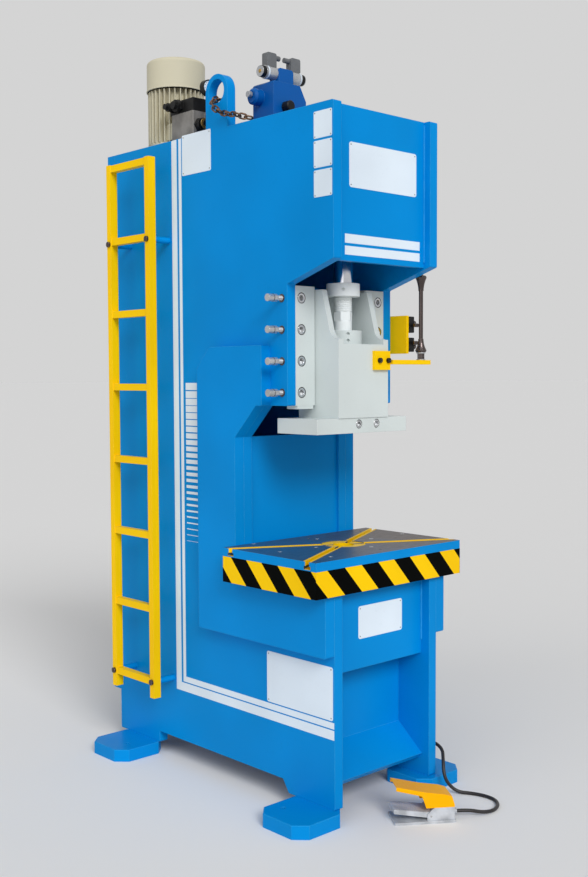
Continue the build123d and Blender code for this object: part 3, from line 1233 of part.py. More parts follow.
def foot_housing():
    body = foot_profile([(HOUSING_START, FOOT_BASE_T), (HOUSING_END, FOOT_BASE_T), (HOUSING_END, HOUSING_TOP_Z),
                         (HOUSING_START, HOUSING_TOP_Z)], HOUSING_WIDTH)
    cheeks = foot_profile([(8, FOOT_BASE_T), (HOUSING_START + 1, FOOT_BASE_T), (HOUSING_START + 1, HOUSING_TOP_Z),
                           (22, HOUSING_TOP_Z - 10), (8, 30)], HOUSING_WIDTH)
    cheeks -= foot_profile([(0, 0), (HOUSING_START, 0), (HOUSING_START, 80), (0, 80)], PEDAL_WIDTH + 1)
    body += cheeks
    body -= foot_profile([(HOUSING_START + HOUSING_WALL, 0), (HOUSING_END - HOUSING_WALL, 0),
                          (HOUSING_END - HOUSING_WALL, HOUSING_TOP_Z - HOUSING_WALL),
                          (HOUSING_START + HOUSING_WALL, HOUSING_TOP_Z - HOUSING_WALL)],
                         HOUSING_WIDTH - 2 * HOUSING_WALL)
    body -= Pos(PEDAL_PIN_U, 0, PEDAL_PIN_Z) * Rot(90, 0, 0) * Cylinder(PEDAL_PIN_R + 0.02, FOOT_WIDTH)
    boss = Pos(0, -18.4, 28) * rod_x(CABLE_BOSS_R, HOUSING_END - 2, 121.9)
    return body + boss


def foot_pedal():
    slope = (PEDAL_HEEL_Z - PEDAL_TOE_Z) / (PEDAL_HEEL + FOOT_LENGTH / 2)
    toe = -FOOT_LENGTH / 2
    body = foot_profile([(toe, PEDAL_TOE_Z), (PEDAL_HEEL, PEDAL_HEEL_Z), (PEDAL_HEEL, 17), (14, 17),
                         (toe, PEDAL_TOE_Z - 15)], PEDAL_WIDTH)
    body -= foot_profile([(toe + 4, PEDAL_TOE_Z - PEDAL_T), (10, PEDAL_TOE_Z - PEDAL_T + slope * (6 - toe)),
                          (10, 5), (toe + 4, 5)], PEDAL_WIDTH - 6)
    for i in range(11):
        u = toe + 8 + i * 8
        z = PEDAL_TOE_Z + slope * (u - toe)
        body += Pos(u, 0, z) * Rot(0, -math.degrees(math.atan(slope)), 0) * Box(3, PEDAL_WIDTH - 10, 2)
    return body - Pos(PEDAL_PIN_U, 0, PEDAL_PIN_Z) * Rot(90, 0, 0) * Cylinder(PEDAL_PIN_R + SHAFT_GAP, FOOT_WIDTH)


def foot_hood():
    shell = foot_profile([
        (HOOD_TIP, HOOD_TIP_Z), (0, 112), (72, 101), (98, 93), (HOUSING_END, 62), (HOUSING_END, HOUSING_TOP_Z),
        (4, HOUSING_TOP_Z), (-4, 78), (-12, 98), (HOOD_TIP, HOOD_TIP_Z - 14)], HOUSING_WIDTH)
    return shell - foot_profile([
        (HOOD_TIP - 9, HOOD_TIP_Z - 1), (0, 108.8), (71, 97.8), (95.5, 90.5), (104.8, 61.5), (104.8, 50),
        (HOOD_TIP - 9, 50)], HOUSING_WIDTH - 2 * FOOT_SHELL_T)


nodes["foot_base"] = on_foot(foot_base())
nodes["foot_housing"] = on_foot(foot_housing())
nodes["foot_pedal"] = on_foot(foot_pedal())
pin = Pos(PEDAL_PIN_U, 0, PEDAL_PIN_Z) * Rot(90, 0, 0) * Cylinder(PEDAL_PIN_R, HOUSING_WIDTH)
nodes["foot_pedal_pin"] = on_foot(pin)
nodes["foot_hood"] = on_foot(foot_hood())

elbow = block(HALF_OUT, GLAND_X + 14, GLAND_DEPTH + 14, GLAND_DEPTH + 46, GLAND_Z - 16, GLAND_Z + 16)
elbow = fillet(elbow.edges().filter_by(Axis.Y), 4)
nut = Pos(GLAND_X, FRONT_Y + GLAND_DEPTH + 7.1, GLAND_Z) * Rot(90, 0, 0) * hexagon(24, 14)
nodes["cable_gland"] = elbow + nut


# Foot switch cable: straight runs joined by tangent arcs

def cable():
    points = [Vector(x, FRONT_Y + d, z) for x, d, z in CABLE_ROUTE]
    radii = []
    for before, here, after in zip(points, points[1:], points[2:]):
        turn = (here - before).get_angle(after - here)
        shorter = min((here - before).length, (after - here).length)
        radii.append(0.45 * shorter / math.tan(math.radians(turn) / 2))
    path = FilletPolyline(*points, radius=radii)
    tube = sweep(Plane(origin=path @ 0, z_dir=path % 0) * Circle(CABLE_R), path=path)
    section = math.pi * CABLE_R ** 2
    print("cable radii", [round(r) for r in radii])
    print("cable length", round(path.length, 1), "volume ratio", round(tube.volume / (section * path.length), 4))
    return tube


nodes["foot_cable"] = cable()

os.makedirs("parts", exist_ok=True)
for name, shape in nodes.items():
    if isinstance(shape, Part) and len(shape.solids()) == 1:
        shape = shape.solid()
    shape.label = name
    export_step(shape, f"parts/{name}.step")
    box = shape.bounding_box()
    print(name, len(shape.solids()), [round(v) for v in (*box.min, *box.max)])
print(len(nodes), "nodes")
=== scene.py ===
"""Looks of a gap-frame hydraulic press: paint, metal, table markings, threads, dial, cable and light."""

import json
import math

import bmesh
import bpy
from mathutils import Matrix, Vector


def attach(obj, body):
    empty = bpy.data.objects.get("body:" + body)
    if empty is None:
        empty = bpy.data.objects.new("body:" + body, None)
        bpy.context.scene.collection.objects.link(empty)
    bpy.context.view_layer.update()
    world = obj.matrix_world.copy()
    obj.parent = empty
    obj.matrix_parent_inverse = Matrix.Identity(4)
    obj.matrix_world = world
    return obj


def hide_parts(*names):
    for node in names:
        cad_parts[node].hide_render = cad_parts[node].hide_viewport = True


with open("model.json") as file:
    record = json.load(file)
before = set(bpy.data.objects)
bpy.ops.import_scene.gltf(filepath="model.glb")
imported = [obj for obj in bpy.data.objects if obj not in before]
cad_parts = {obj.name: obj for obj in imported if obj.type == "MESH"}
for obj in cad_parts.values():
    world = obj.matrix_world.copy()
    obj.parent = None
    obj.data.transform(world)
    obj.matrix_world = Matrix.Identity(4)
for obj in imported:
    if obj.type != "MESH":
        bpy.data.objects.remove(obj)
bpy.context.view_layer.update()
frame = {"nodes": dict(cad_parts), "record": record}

# Lengths are millimetres and depths are measured back from the side plates' front edges
PER_METRE = 1000
FRONT_Y = -635.0
HALF_OUT = 275.0
HEAD_PANEL = 30.0
LOWER_PANEL = 40.0
MARK_T = 0.35
PLATE_T = 0.8
SAME_POINT = 0.000001
SHARP_ANGLE = math.radians(35)

# Directions
LEFT = Vector((-1, 0, 0))
RIGHT = Vector((1, 0, 0))
FORWARD = Vector((0, -1, 0))
UP = Vector((0, 0, 1))

# Table
TABLE_X = 387.0
TABLE_FRONT = -24.0
TABLE_BACK = 476.0
TABLE_CENTRE = 226.0
TABLE_LOW_Z = 822.0
TABLE_TOP_Z = 950.0
BAND_Z = 918.0
STRIPE_LEAN = 87.0
STRIPE_WIDTH = 86.0
STRIPE_PITCH = 171.0
STRIPE_COUNTS = range(-4, 7)
FRONT_STRIPE_X = -246.0
SIDE_STRIPE_DEPTH = 85.0
HAZARD_X = TABLE_X + 2 * MARK_T
HAZARD_FRONT = TABLE_FRONT - 2 * MARK_T
HAZARD_BACK = TABLE_BACK + 2 * MARK_T
SLOT_ANGLE = math.radians(28.0)
SLOT_NECK = 9.0
SLOT_NECK_Z = 934.0
SLOT_FOOT = 15.0
SLOT_FOOT_Z = 922.0
SLOT_PAINT = 8.0
SLOT_FLOOR_PAINT = 14.0
RING_R = 84.5
RING_BORE = 41.0
RING_Z = 947.0
RING_STEPS = 72
HOLES = ((-306, 248), (16, 387), (-138, 233), (-253, 39), (357, 246), (167, 239), (17, 98), (-246, 462))

# Bars on the left plate, thick at the top and thin at the bottom
BAR_COUNT = 25
BAR_FRONT = 759
BAR_BACK = 841
BAR_TOP_Z = 1562
BAR_LOW_Z = 902
BAR_FIRST = 28.5
BAR_LAST = 1.5
BAR_SPREAD = 0.93

# Camera, placed in metres
CAMERA_AT = (-3.0121, -3.3782, 1.5865)
CAMERA_YAW = math.radians(42.883)
CAMERA_PITCH = math.radians(-3.184)
CAMERA_ROLL = math.radians(-0.2466)
CAMERA_LENS = 68.46
CAMERA_SENSOR = 36.0

# Light: an even grey from all round, and suns given by direction, strength and spread
AMBIENT = 0.36
SUNS = {
    "front_key": (Vector((-0.33, -0.78, 0.53)).normalized(), 1.75, math.radians(24)),
    "left_fill": (Vector((-0.86, -0.30, 0.42)).normalized(), 0.85, math.radians(70)),
}
SUN_DISTANCE = 6
BACKDROP = (212, 212, 212)
FLOOR_SIZE = 300

# Finish
FULL = 255
BEVEL_SAMPLES = 4
EDGE_STARTS = 0.99
EDGE_ENDS = 0.85
BUMP_DEPTH = 0.001
GLOSS_LOW = 0.3
GLOSS_HIGH = 0.7


def at(x, depth, z):
    """Point in metres from X, depth and height."""
    return Vector((x / PER_METRE, (FRONT_Y + depth) / PER_METRE, z / PER_METRE))


def shift(x, y, z):
    """Move in metres from lengths along X, Y and Z."""
    return Vector((x / PER_METRE, y / PER_METRE, z / PER_METRE))


def linear(screen):
    """Linear colour from 0 to 255 screen values, by the sRGB curve."""
    out = []
    for value in screen:
        share = min(value, FULL) / FULL
        out.append(share / 12.92 if share <= 0.04045 else ((share + 0.055) / 1.055) ** 2.4)
    return (*out, 1.0)


# Camera

def press_camera():
    """Camera at the photograph's place, turned by yaw, pitch and roll."""
    cos_yaw, sin_yaw = math.cos(CAMERA_YAW), math.sin(CAMERA_YAW)
    cos_pitch, sin_pitch = math.cos(CAMERA_PITCH), math.sin(CAMERA_PITCH)
    forward = Vector((sin_yaw * cos_pitch, cos_yaw * cos_pitch, sin_pitch))
    level = Vector((cos_yaw, -sin_yaw, 0.0))
    upright = level.cross(forward)
    right = math.cos(CAMERA_ROLL) * level + math.sin(CAMERA_ROLL) * upright
    up = math.cos(CAMERA_ROLL) * upright - math.sin(CAMERA_ROLL) * level
    data = bpy.data.cameras.new("camera")
    data.sensor_fit = "HORIZONTAL"
    data.sensor_width = CAMERA_SENSOR
    data.lens = CAMERA_LENS
    camera = bpy.data.objects.new("camera", data)
    bpy.context.scene.collection.objects.link(camera)
    turn = Matrix((right, up, -forward)).transposed().to_4x4()
    camera.matrix_world = Matrix.Translation(CAMERA_AT) @ turn
    bpy.context.scene.camera = camera


press_camera()


# Material helpers

def start_material(name, colour, roughness, metal=0.0, shine=0.12):
    """Principled material at plain values, with its node tree, shader and Object coordinates."""
    material = bpy.data.materials.new(name)
    material.use_nodes = True
    tree = material.node_tree
    shader = tree.nodes["Principled BSDF"]
    shader.inputs["Base Color"].default_value = linear(colour)
    shader.inputs["Roughness"].default_value = roughness
    shader.inputs["Metallic"].default_value = metal
    shader.inputs["Specular IOR Level"].default_value = shine
    place = tree.nodes.new("ShaderNodeTexCoord").outputs["Object"]
    return material, tree, shader, place


def noise(tree, place, scale, detail=3.0, stretch=(1, 1, 1)):
    """Value of a noise pattern, stretched where asked."""
    mapping = tree.nodes.new("ShaderNodeMapping")
    mapping.inputs["Scale"].default_value = stretch
    tree.links.new(place, mapping.inputs["Vector"])
    pattern = tree.nodes.new("ShaderNodeTexNoise")
    pattern.inputs["Scale"].default_value = scale
    pattern.inputs["Detail"].default_value = detail
    tree.links.new(mapping.outputs["Vector"], pattern.inputs["Vector"])
    return pattern.outputs["Fac"]


def span(tree, value, low, high, to_low=0.0, to_high=1.0):
    """Value stretched from one range to another and kept in it."""
    node = tree.nodes.new("ShaderNodeMapRange")
    tree.links.new(value, node.inputs["Value"])
    node.inputs["From Min"].default_value = low
    node.inputs["From Max"].default_value = high
    node.inputs["To Min"].default_value = to_low
    node.inputs["To Max"].default_value = to_high
    return node.outputs["Result"]


def joined(tree, operation, first, second):
    """Value of a sum, product or maximum of two values."""
    node = tree.nodes.new("ShaderNodeMath")
    node.operation = operation
    tree.links.new(first, node.inputs[0])
    tree.links.new(second, node.inputs[1])
    return node.outputs["Value"]


def mixed(tree, share, first, second):
    """Colour between two, each a screen colour or another node's colour."""
    node = tree.nodes.new("ShaderNodeMix")
    node.data_type = "RGBA"
    tree.links.new(share, node.inputs["Factor"])
    for key, colour in (("A", first), ("B", second)):
        if isinstance(colour, tuple):
            node.inputs[key].default_value = linear(colour)
        else:
            tree.links.new(colour, node.inputs[key])
    return node.outputs["Result"]


def soft_edges(tree, width):
    """Value that rises along outer edges, and the normal that rounds them."""
    bevel = tree.nodes.new("ShaderNodeBevel")
    bevel.samples = BEVEL_SAMPLES
    bevel.inputs["Radius"].default_value = width
    surface = tree.nodes.new("ShaderNodeNewGeometry").outputs["Normal"]
    dot = tree.nodes.new("ShaderNodeVectorMath")
    dot.operation = "DOT_PRODUCT"
    tree.links.new(bevel.outputs["Normal"], dot.inputs[0])
    tree.links.new(surface, dot.inputs[1])
    return span(tree, dot.outputs["Value"], EDGE_STARTS, EDGE_ENDS), bevel.outputs["Normal"]


def roughen(tree, shader, height, strength, normal=None):
    """Bump from a pattern, on the rounded edges' normal where there is one."""
    bump = tree.nodes.new("ShaderNodeBump")
    bump.inputs["Strength"].default_value = strength
    bump.inputs["Distance"].default_value = BUMP_DEPTH
    tree.links.new(height, bump.inputs["Height"])
    if normal is not None:
        tree.links.new(normal, bump.inputs["Normal"])
    tree.links.new(bump.outputs["Normal"], shader.inputs["Normal"])


def gloss(tree, shader, pattern, low, high):
    """Roughness between two values, following a pattern."""
    tree.links.new(span(tree, pattern, GLOSS_LOW, GLOSS_HIGH, low, high), shader.inputs["Roughness"])


def shade(colour, share):
    """Screen colour made darker or lighter by a share."""
    return tuple(min(FULL, value * share) for value in colour)


def pale(colour, share):
    """Screen colour moved towards white by a share."""
    return tuple(value + (FULL - value) * share for value in colour)


# Finishes

def sprayed_paint(name, colour, roughness=0.36, shine=0.12, edge=0.28, width=0.0025):
    """Paint with soft unevenness, a fine orange-peel skin and paler edges, partly worn and partly a painted
    highlight.
    """
    material, tree, shader, place = start_material(name, colour, roughness, shine=shine)
    patches = span(tree, noise(tree, place, scale=2.2, detail=2.0), low=0.35, high=0.65)
    specks = span(tree, noise(tree, place, scale=60.0, detail=5.0), low=0.62, high=0.8, to_high=0.35)
    body = mixed(tree, patches, shade(colour, 0.965), shade(colour, 1.02))
    body = mixed(tree, specks, body, shade(colour, 0.93))
    # Paler edges, broken up by noise: partly wear and partly a painted highlight on lit edges
    edge_wear_and_highlight, normal = soft_edges(tree, width)
    broken = span(tree, noise(tree, place, scale=35.0, detail=4.0), low=0.35, high=0.6, to_low=0.35)
    broken_wear_and_highlight = joined(tree, "MULTIPLY", edge_wear_and_highlight, broken)
    tree.links.new(mixed(tree, broken_wear_and_highlight, body, pale(colour, edge)), shader.inputs["Base Color"])
    gloss(tree, shader, noise(tree, place, scale=9.0), roughness - 0.05, roughness + 0.07)
    roughen(tree, shader, noise(tree, place, scale=420.0, detail=2.0), strength=0.05, normal=normal)
    return material


def machined_metal(name, colour, roughness, stretch=(1, 1, 30), scale=40.0, stain=0.88, metal=0.85):
    """Turned or ground metal: fine tool lines, faint staining and bright edges, partly worn and partly a
    painted highlight.
    """
    material, tree, shader, place = start_material(name, colour, roughness, metal, shine=0.5)
    stains = span(tree, noise(tree, place, scale=14.0, detail=4.0), low=0.35, high=0.7)
    body = mixed(tree, stains, shade(colour, stain), colour)
    # Paler edges: partly wear and partly a painted highlight
    edge_wear_and_highlight, normal = soft_edges(tree, width=0.0012)
    tree.links.new(mixed(tree, edge_wear_and_highlight, body, pale(colour, 0.4)), shader.inputs["Base Color"])
    lines = noise(tree, place, scale, detail=2.0, stretch=stretch)
    gloss(tree, shader, lines, roughness - 0.06, roughness + 0.08)
    roughen(tree, shader, lines, strength=0.06, normal=normal)
    return material


def rough_casting(name, colour, roughness, metal=0.3):
    """Cast metal with a sandy skin and darker and lighter patches."""
    material, tree, shader, place = start_material(name, colour, roughness, metal, shine=0.3)
    grain = noise(tree, place, scale=260.0, detail=5.0)
    patches = span(tree, noise(tree, place, scale=18.0), low=0.35, high=0.65)
    # Paler edges: partly wear and partly a painted highlight
    edge_wear_and_highlight, normal = soft_edges(tree, width=0.0015)
    body = mixed(tree, patches, shade(colour, 0.86), shade(colour, 1.06))
    tree.links.new(mixed(tree, edge_wear_and_highlight, body, pale(colour, 0.35)), shader.inputs["Base Color"])
    gloss(tree, shader, grain, roughness - 0.08, roughness + 0.1)
    roughen(tree, shader, grain, strength=0.25, normal=normal)
    return material


def moulded_plastic(name, colour, roughness=0.42, shine=0.25, grain=0.08):
    """Moulded plastic or rubber with a fine grain, pale scuffs and paler edges, partly worn and partly a
    painted highlight.
    """
    material, tree, shader, place = start_material(name, colour, roughness, shine=shine)
    scuffs = span(tree, noise(tree, place, scale=24.0, detail=5.0), low=0.5, high=0.75)
    body = mixed(tree, scuffs, colour, pale(colour, 0.06))
    # Paler edges: partly wear and partly a painted highlight
    edge_wear_and_highlight, normal = soft_edges(tree, width=0.001)
    tree.links.new(mixed(tree, edge_wear_and_highlight, body, pale(colour, 0.22)), shader.inputs["Base Color"])
    skin = noise(tree, place, scale=700.0, detail=2.0)
    gloss(tree, shader, skin, roughness - 0.06, roughness + 0.06)
    roughen(tree, shader, skin, strength=grain, normal=normal)
    return material


def ground_table_top():
    """Ground steel: blue-grey at the left going to brown at the right, a painted reflection, with long
    scratches.
    """
    # Blue-grey and brown: a painted reflection of the blue plate at the left and of warmer things at the
    # right
    blue_reflection_tint, warm_reflection_tint = (54, 86, 118), (76, 64, 60)
    scratched, bright = (150, 156, 160), (150, 160, 168)
    material, tree, shader, place = start_material("ground_table_top", blue_reflection_tint, roughness=0.38, metal=0.35,
                                                   shine=0.4)
    # Painted reflection: blue-grey going to brown along X, its boundary clouded by noise
    split = tree.nodes.new("ShaderNodeSeparateXYZ")
    tree.links.new(place, split.inputs["Vector"])
    along = span(tree, split.outputs["X"], low=-0.25, high=0.3)
    reflection_clouds = noise(tree, place, scale=7.0, detail=4.0)
    reflection_clouds = span(tree, reflection_clouds, low=0.3, high=0.7, to_low=-0.25, to_high=0.25)
    reflection_mix = joined(tree, "ADD", along, reflection_clouds)
    reflection_mix.node.use_clamp = True
    body = mixed(tree, reflection_mix, blue_reflection_tint, warm_reflection_tint)
    scratches = noise(tree, place, scale=30.0, detail=3.0, stretch=(1, 14, 1))
    body = mixed(tree, span(tree, scratches, low=0.58, high=0.72, to_high=0.3), body, scratched)
    # Bright edges: partly wear and partly a painted highlight
    edge_wear_and_highlight, normal = soft_edges(tree, width=0.0015)
    tree.links.new(mixed(tree, edge_wear_and_highlight, body, bright), shader.inputs["Base Color"])
    gloss(tree, shader, scratches, low=0.3, high=0.48)
    roughen(tree, shader, scratches, strength=0.06, normal=normal)
    return material


def worn_chain_steel():
    """Oiled chain with bronze-brown rust in patches."""
    plain, oiled, rusty = (86, 68, 56), (58, 54, 54), (134, 100, 74)
    material, tree, shader, place = start_material("worn_chain_steel", plain, roughness=0.42, metal=0.6,
                                                   shine=0.4)
    rust = span(tree, noise(tree, place, scale=45.0, detail=5.0), low=0.4, high=0.62)
    tree.links.new(mixed(tree, rust, oiled, rusty), shader.inputs["Base Color"])
    roughen(tree, shader, noise(tree, place, scale=220.0, detail=4.0), strength=0.2)
    return material


LOOKS = {}


def add_look(finish, name, colour, **values):
    """Keeps a finish under the name of its slot."""
    LOOKS[name] = finish(name, colour, **values)


add_look(sprayed_paint, "blue_paint", (0, 138, 214), shine=0.06)
add_look(sprayed_paint, "yellow_paint", (255, 203, 0), roughness=0.4, shine=0.08, edge=0.3, width=0.0015)
add_look(sprayed_paint, "grey_paint", (206, 214, 213), roughness=0.38, shine=0.16, edge=0.6, width=0.002)
add_look(machined_metal, "machined_steel", (196, 198, 200), roughness=0.28, metal=0.6)
add_look(machined_metal, "dark_steel", (92, 82, 80), roughness=0.2)
LOOKS["table_steel"] = ground_table_top()
add_look(machined_metal, "chrome", (215, 217, 222), roughness=0.1, stretch=(1, 1, 40), scale=60.0,
         stain=0.96, metal=1.0)
add_look(rough_casting, "cast_iron", (80, 80, 82), roughness=0.6)
add_look(sprayed_paint, "beige_paint", (206, 200, 176), roughness=0.45, edge=0.4, width=0.0015)
add_look(rough_casting, "aluminium", (136, 133, 128), roughness=0.45, metal=0.25)
add_look(moulded_plastic, "black_plastic", (20, 20, 20))
add_look(moulded_plastic, "grey_plastic", (104, 106, 108))
add_look(sprayed_paint, "valve_blue", (0, 88, 164), roughness=0.38, shine=0.2, edge=0.35, width=0.0015)
add_look(rough_casting, "foot_grey", (188, 192, 198), roughness=0.42, metal=0.1)
add_look(moulded_plastic, "foot_orange", (252, 176, 0), roughness=0.36, shine=0.08, grain=0.03)
add_look(moulded_plastic, "cable_rubber", (34, 31, 32), roughness=0.4, shine=0.4, grain=0.15)
add_look(machined_metal, "brass", (196, 158, 86), roughness=0.3)
add_look(sprayed_paint, "white_paint", (224, 236, 247), roughness=0.42, shine=0.1, edge=0.3, width=0.001)
add_look(sprayed_paint, "black_paint", (2, 3, 2), roughness=0.42, shine=0.03, edge=0.08, width=0.001)
for part in frame["record"]["subparts"]:
    node = frame["nodes"][part["node"]]
    node.data.materials.clear()
    node.data.materials.append(LOOKS[part["material_slot"]])
frame["nodes"]["lifting_chain"].data.materials[0] = worn_chain_steel()
# A lighter copy of the grey paint for the collar, the adjusting screw and its thread: painted light where
# the lamps leave them in shade
lit_screw_paint = sprayed_paint("screw_grey_painted_light", (238, 243, 243), roughness=0.34, shine=0.2, edge=0.6,
                            width=0.002)
for name in ("rod_collar", "adjusting_screw"):
    frame["nodes"][name].data.materials[0] = lit_screw_paint


# Foot switch cable, by X, depth and height along it

CABLE_ROUTE = [
    (298.0, 96.0, 166.0), (298.0, 50.0, 166.0), (298.0, -16.0, 150.0), (258.0, -52.0, 116.0),
    (242.0, -68.0, 76.0), (247.0, -83.0, 40.0), (273.0, -110.0, 8.0), (304.0, -152.0, 6.6),
    (321.0, -204.0, 6.6), (316.0, -256.0, 6.6), (280.0, -296.0, 6.6), (226.0, -314.0, 6.6),
    (170.0, -307.0, 14.0), (123.68, -281.38, 28.0), (86.0, -255.0, 28.0),
]
CABLE_D = 0.013
curve = bpy.data.curves.new("foot_switch_cable", "CURVE")
curve.dimensions = "3D"
curve.bevel_depth = CABLE_D / 2
curve.bevel_resolution = 6
curve.resolution_u = 10
curve.use_fill_caps = True
spline = curve.splines.new("NURBS")
spline.points.add(len(CABLE_ROUTE) - 1)
for point, place in zip(spline.points, CABLE_ROUTE):
    point.co = (*at(*place), 1.0)
spline.order_u = 3
spline.use_endpoint_u = True
curve.materials.append(LOOKS["cable_rubber"])
cable = bpy.data.objects.new("foot_switch_cable", curve)
bpy.context.scene.collection.objects.link(cable)
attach(cable, "frame")
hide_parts("foot_cable")


# Helpers for added pieces

def piece(name, bm, look, body="frame"):
    """Mesh object from a bmesh, in one finish and riding on a body."""
    bmesh.ops.recalc_face_normals(bm, faces=bm.faces)
    mesh = bpy.data.meshes.new(name)
    bm.to_mesh(mesh)
    bm.free()
    mesh.shade_smooth()
    mesh.set_sharp_from_angle(angle=SHARP_ANGLE)
    mesh.materials.append(LOOKS[look])
    made = bpy.data.objects.new(name, mesh)
    bpy.context.scene.collection.objects.link(made)
    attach(made, body)
    return made


def extrude(bm, faces, move):
    """Extrudes faces of a bmesh by a move."""
    grown = bmesh.ops.extrude_face_region(bm, geom=faces)
    moved = [item for item in grown["geom"] if isinstance(item, bmesh.types.BMVert)]
    bmesh.ops.translate(bm, vec=move, verts=moved)


def add_slab(bm, corners, move):
    """Adds a thin slab: one face through the corners, extruded by a move."""
    extrude(bm, [bm.faces.new([bm.verts.new(corner) for corner in corners])], move)


def add_turned(bm, profile, place, towards=UP, steps=32):
    """Adds a round shape: a profile of (radius, distance along) turned about a line through place."""
    part = bmesh.new()
    corners = [part.verts.new((radius / PER_METRE, 0, along / PER_METRE)) for radius, along in profile]
    edges = [part.edges.new(pair) for pair in zip(corners, corners[1:])]
    bmesh.ops.spin(part, geom=corners + edges, cent=(0, 0, 0), axis=UP, dvec=(0, 0, 0),
                   angle=math.tau, steps=steps, use_merge=True)
    bmesh.ops.remove_doubles(part, verts=part.verts, dist=SAME_POINT)
    bmesh.ops.recalc_face_normals(part, faces=part.faces)
    turn = UP.rotation_difference(towards).to_matrix().to_4x4()
    bmesh.ops.transform(part, matrix=Matrix.Translation(place) @ turn, verts=part.verts)
    mesh = bpy.data.meshes.new("turned_part")
    part.to_mesh(mesh)
    part.free()
    bm.from_mesh(mesh)
    bpy.data.meshes.remove(mesh)


def turned_piece(name, look, shapes, body="frame"):
    """Piece made of round shapes, each a profile, a place, a direction and a number of steps."""
    bm = bmesh.new()
    for profile, place, towards, steps in shapes:
        add_turned(bm, profile, place, towards, steps)
    return piece(name, bm, look, body)


def side_marks(name, shapes, look, x_face=-HALF_OUT, side=-1, thick=MARK_T):
    """Thin marks on a face across X, from lists of (depth, height) corners."""
    bm = bmesh.new()
    for shape in shapes:
        add_slab(bm, [at(x_face, depth, z) for depth, z in shape], shift(side * thick, 0, 0))
    piece(name, bm, look)


def front_marks(name, shapes, look, depth, side=-1, thick=MARK_T):
    """Thin marks on a face across the depth, from lists of (X, height) corners."""
    bm = bmesh.new()
    for shape in shapes:
        add_slab(bm, [at(x, depth, z) for x, z in shape], shift(0, side * thick, 0))
    piece(name, bm, look)


def box_shape(u0, u1, v0, v1):
    """Corners of a rectangle."""
    return [(u0, v0), (u1, v0), (u1, v1), (u0, v1)]


def round_shape(u0, u1, v0, v1, radius, steps=6):
    """Rectangle with round corners."""
    shape = []
    centres = [(u1 - radius, v1 - radius), (u0 + radius, v1 - radius),
               (u0 + radius, v0 + radius), (u1 - radius, v0 + radius)]
    for quarter, (cu, cv) in enumerate(centres):
        for i in range(steps + 1):
            angle = math.radians(quarter * 90 + i * 90 / steps)
            shape.append((cu + radius * math.cos(angle), cv + radius * math.sin(angle)))
    return shape


def ring(inner, outer, low, high, round_off=0.0):
    """Profile of a ring, closed, with its outer corners taken off."""
    return [(inner, low), (outer - round_off, low), (outer, low + round_off), (outer, high - round_off),
            (outer - round_off, high), (inner, high), (inner, low)]


def disc(radius, low, high):
    """Profile of a flat disc."""
    return [(0, low), (radius, low), (radius, high), (0, high)]


def dome(radius, height):
    """Profile of a low dome from its base to its top."""
    return [(0, 0), (radius, 0), (radius * 0.92, height * 0.45), (radius * 0.6, height * 0.85), (0, height)]


# Painted stripes and bars on the left plate and the head

side_marks("side_stripes", [
    box_shape(886, 920, 303, 2531), box_shape(856, 874, 343, 2531),
    box_shape(2, 886, 303, 338), box_shape(2, 856, 343, 366),
], "white_paint")

bars = []
for i in range(BAR_COUNT):
    share = i / (BAR_COUNT - 1)
    height = BAR_FIRST + (BAR_LAST - BAR_FIRST) * share
    top = BAR_TOP_Z - (BAR_TOP_Z - BAR_LOW_Z) * (i / BAR_COUNT) ** BAR_SPREAD
    bars.append(box_shape(BAR_FRONT, BAR_BACK, top - height, top))
side_marks("side_bars", bars, "white_paint")
front_marks("head_stripes", [box_shape(-189, 210, 2054, 2086), box_shape(-189, 210, 2013, 2044)],
            "white_paint", HEAD_PANEL)


# Bare plates, each held by four small rivets

RIVET = dome(2.6, 1.2)
RIVET_STEPS = 16


def bare_plate(name, panel, shape, corner, inset=9.0):
    """Plain white plate on a panel in front, given by its depth, or on the left plate, given by None."""
    u0, u1, v0, v1 = shape
    outline = round_shape(u0, u1, v0, v1, corner)
    spots = [(u, v) for u in (u0 + inset, u1 - inset) for v in (v0 + inset, v1 - inset)]
    if panel is None:
        side_marks(name, [outline], "white_paint", thick=PLATE_T)
        rivets = [(RIVET, at(-HALF_OUT - PLATE_T, u, v), LEFT, RIVET_STEPS) for u, v in spots]
    else:
        front_marks(name, [outline], "white_paint", panel, thick=PLATE_T)
        rivets = [(RIVET, at(u, panel - PLATE_T, v), FORWARD, RIVET_STEPS) for u, v in spots]
    turned_piece(name + "_rivets", "aluminium", rivets)


bare_plate("head_plate", HEAD_PANEL, (-167, 190, 2250, 2408), corner=10)
bare_plate("lower_plate", LOWER_PANEL, (-113, 123, 632, 752), corner=9)
bare_plate("low_side_plate", None, (8, 357, 371, 563), corner=8)
bare_plate("high_side_plate", None, (668, 850, 2382, 2540), corner=6)
bare_plate("upper_square_plate", None, (6, 96, 2410, 2503), corner=5, inset=6)
bare_plate("middle_square_plate", None, (6, 96, 2309, 2402), corner=5, inset=6)
bare_plate("lower_square_plate", None, (6, 96, 2208, 2301), corner=5, inset=6)


# Hazard stripes and blue band round the table

def clip(shape, limit, side):
    """Keeps the part of a shape on one side of a limit."""
    out = []
    for i, (u, v) in enumerate(shape):
        next_u, next_v = shape[(i + 1) % len(shape)]
        inside = (u - limit) * side >= 0
        next_inside = (next_u - limit) * side >= 0
        if inside:
            out.append((u, v))
        if inside != next_inside:
            share = (limit - u) / (next_u - u)
            out.append((limit, v + share * (next_v - v)))
    return out


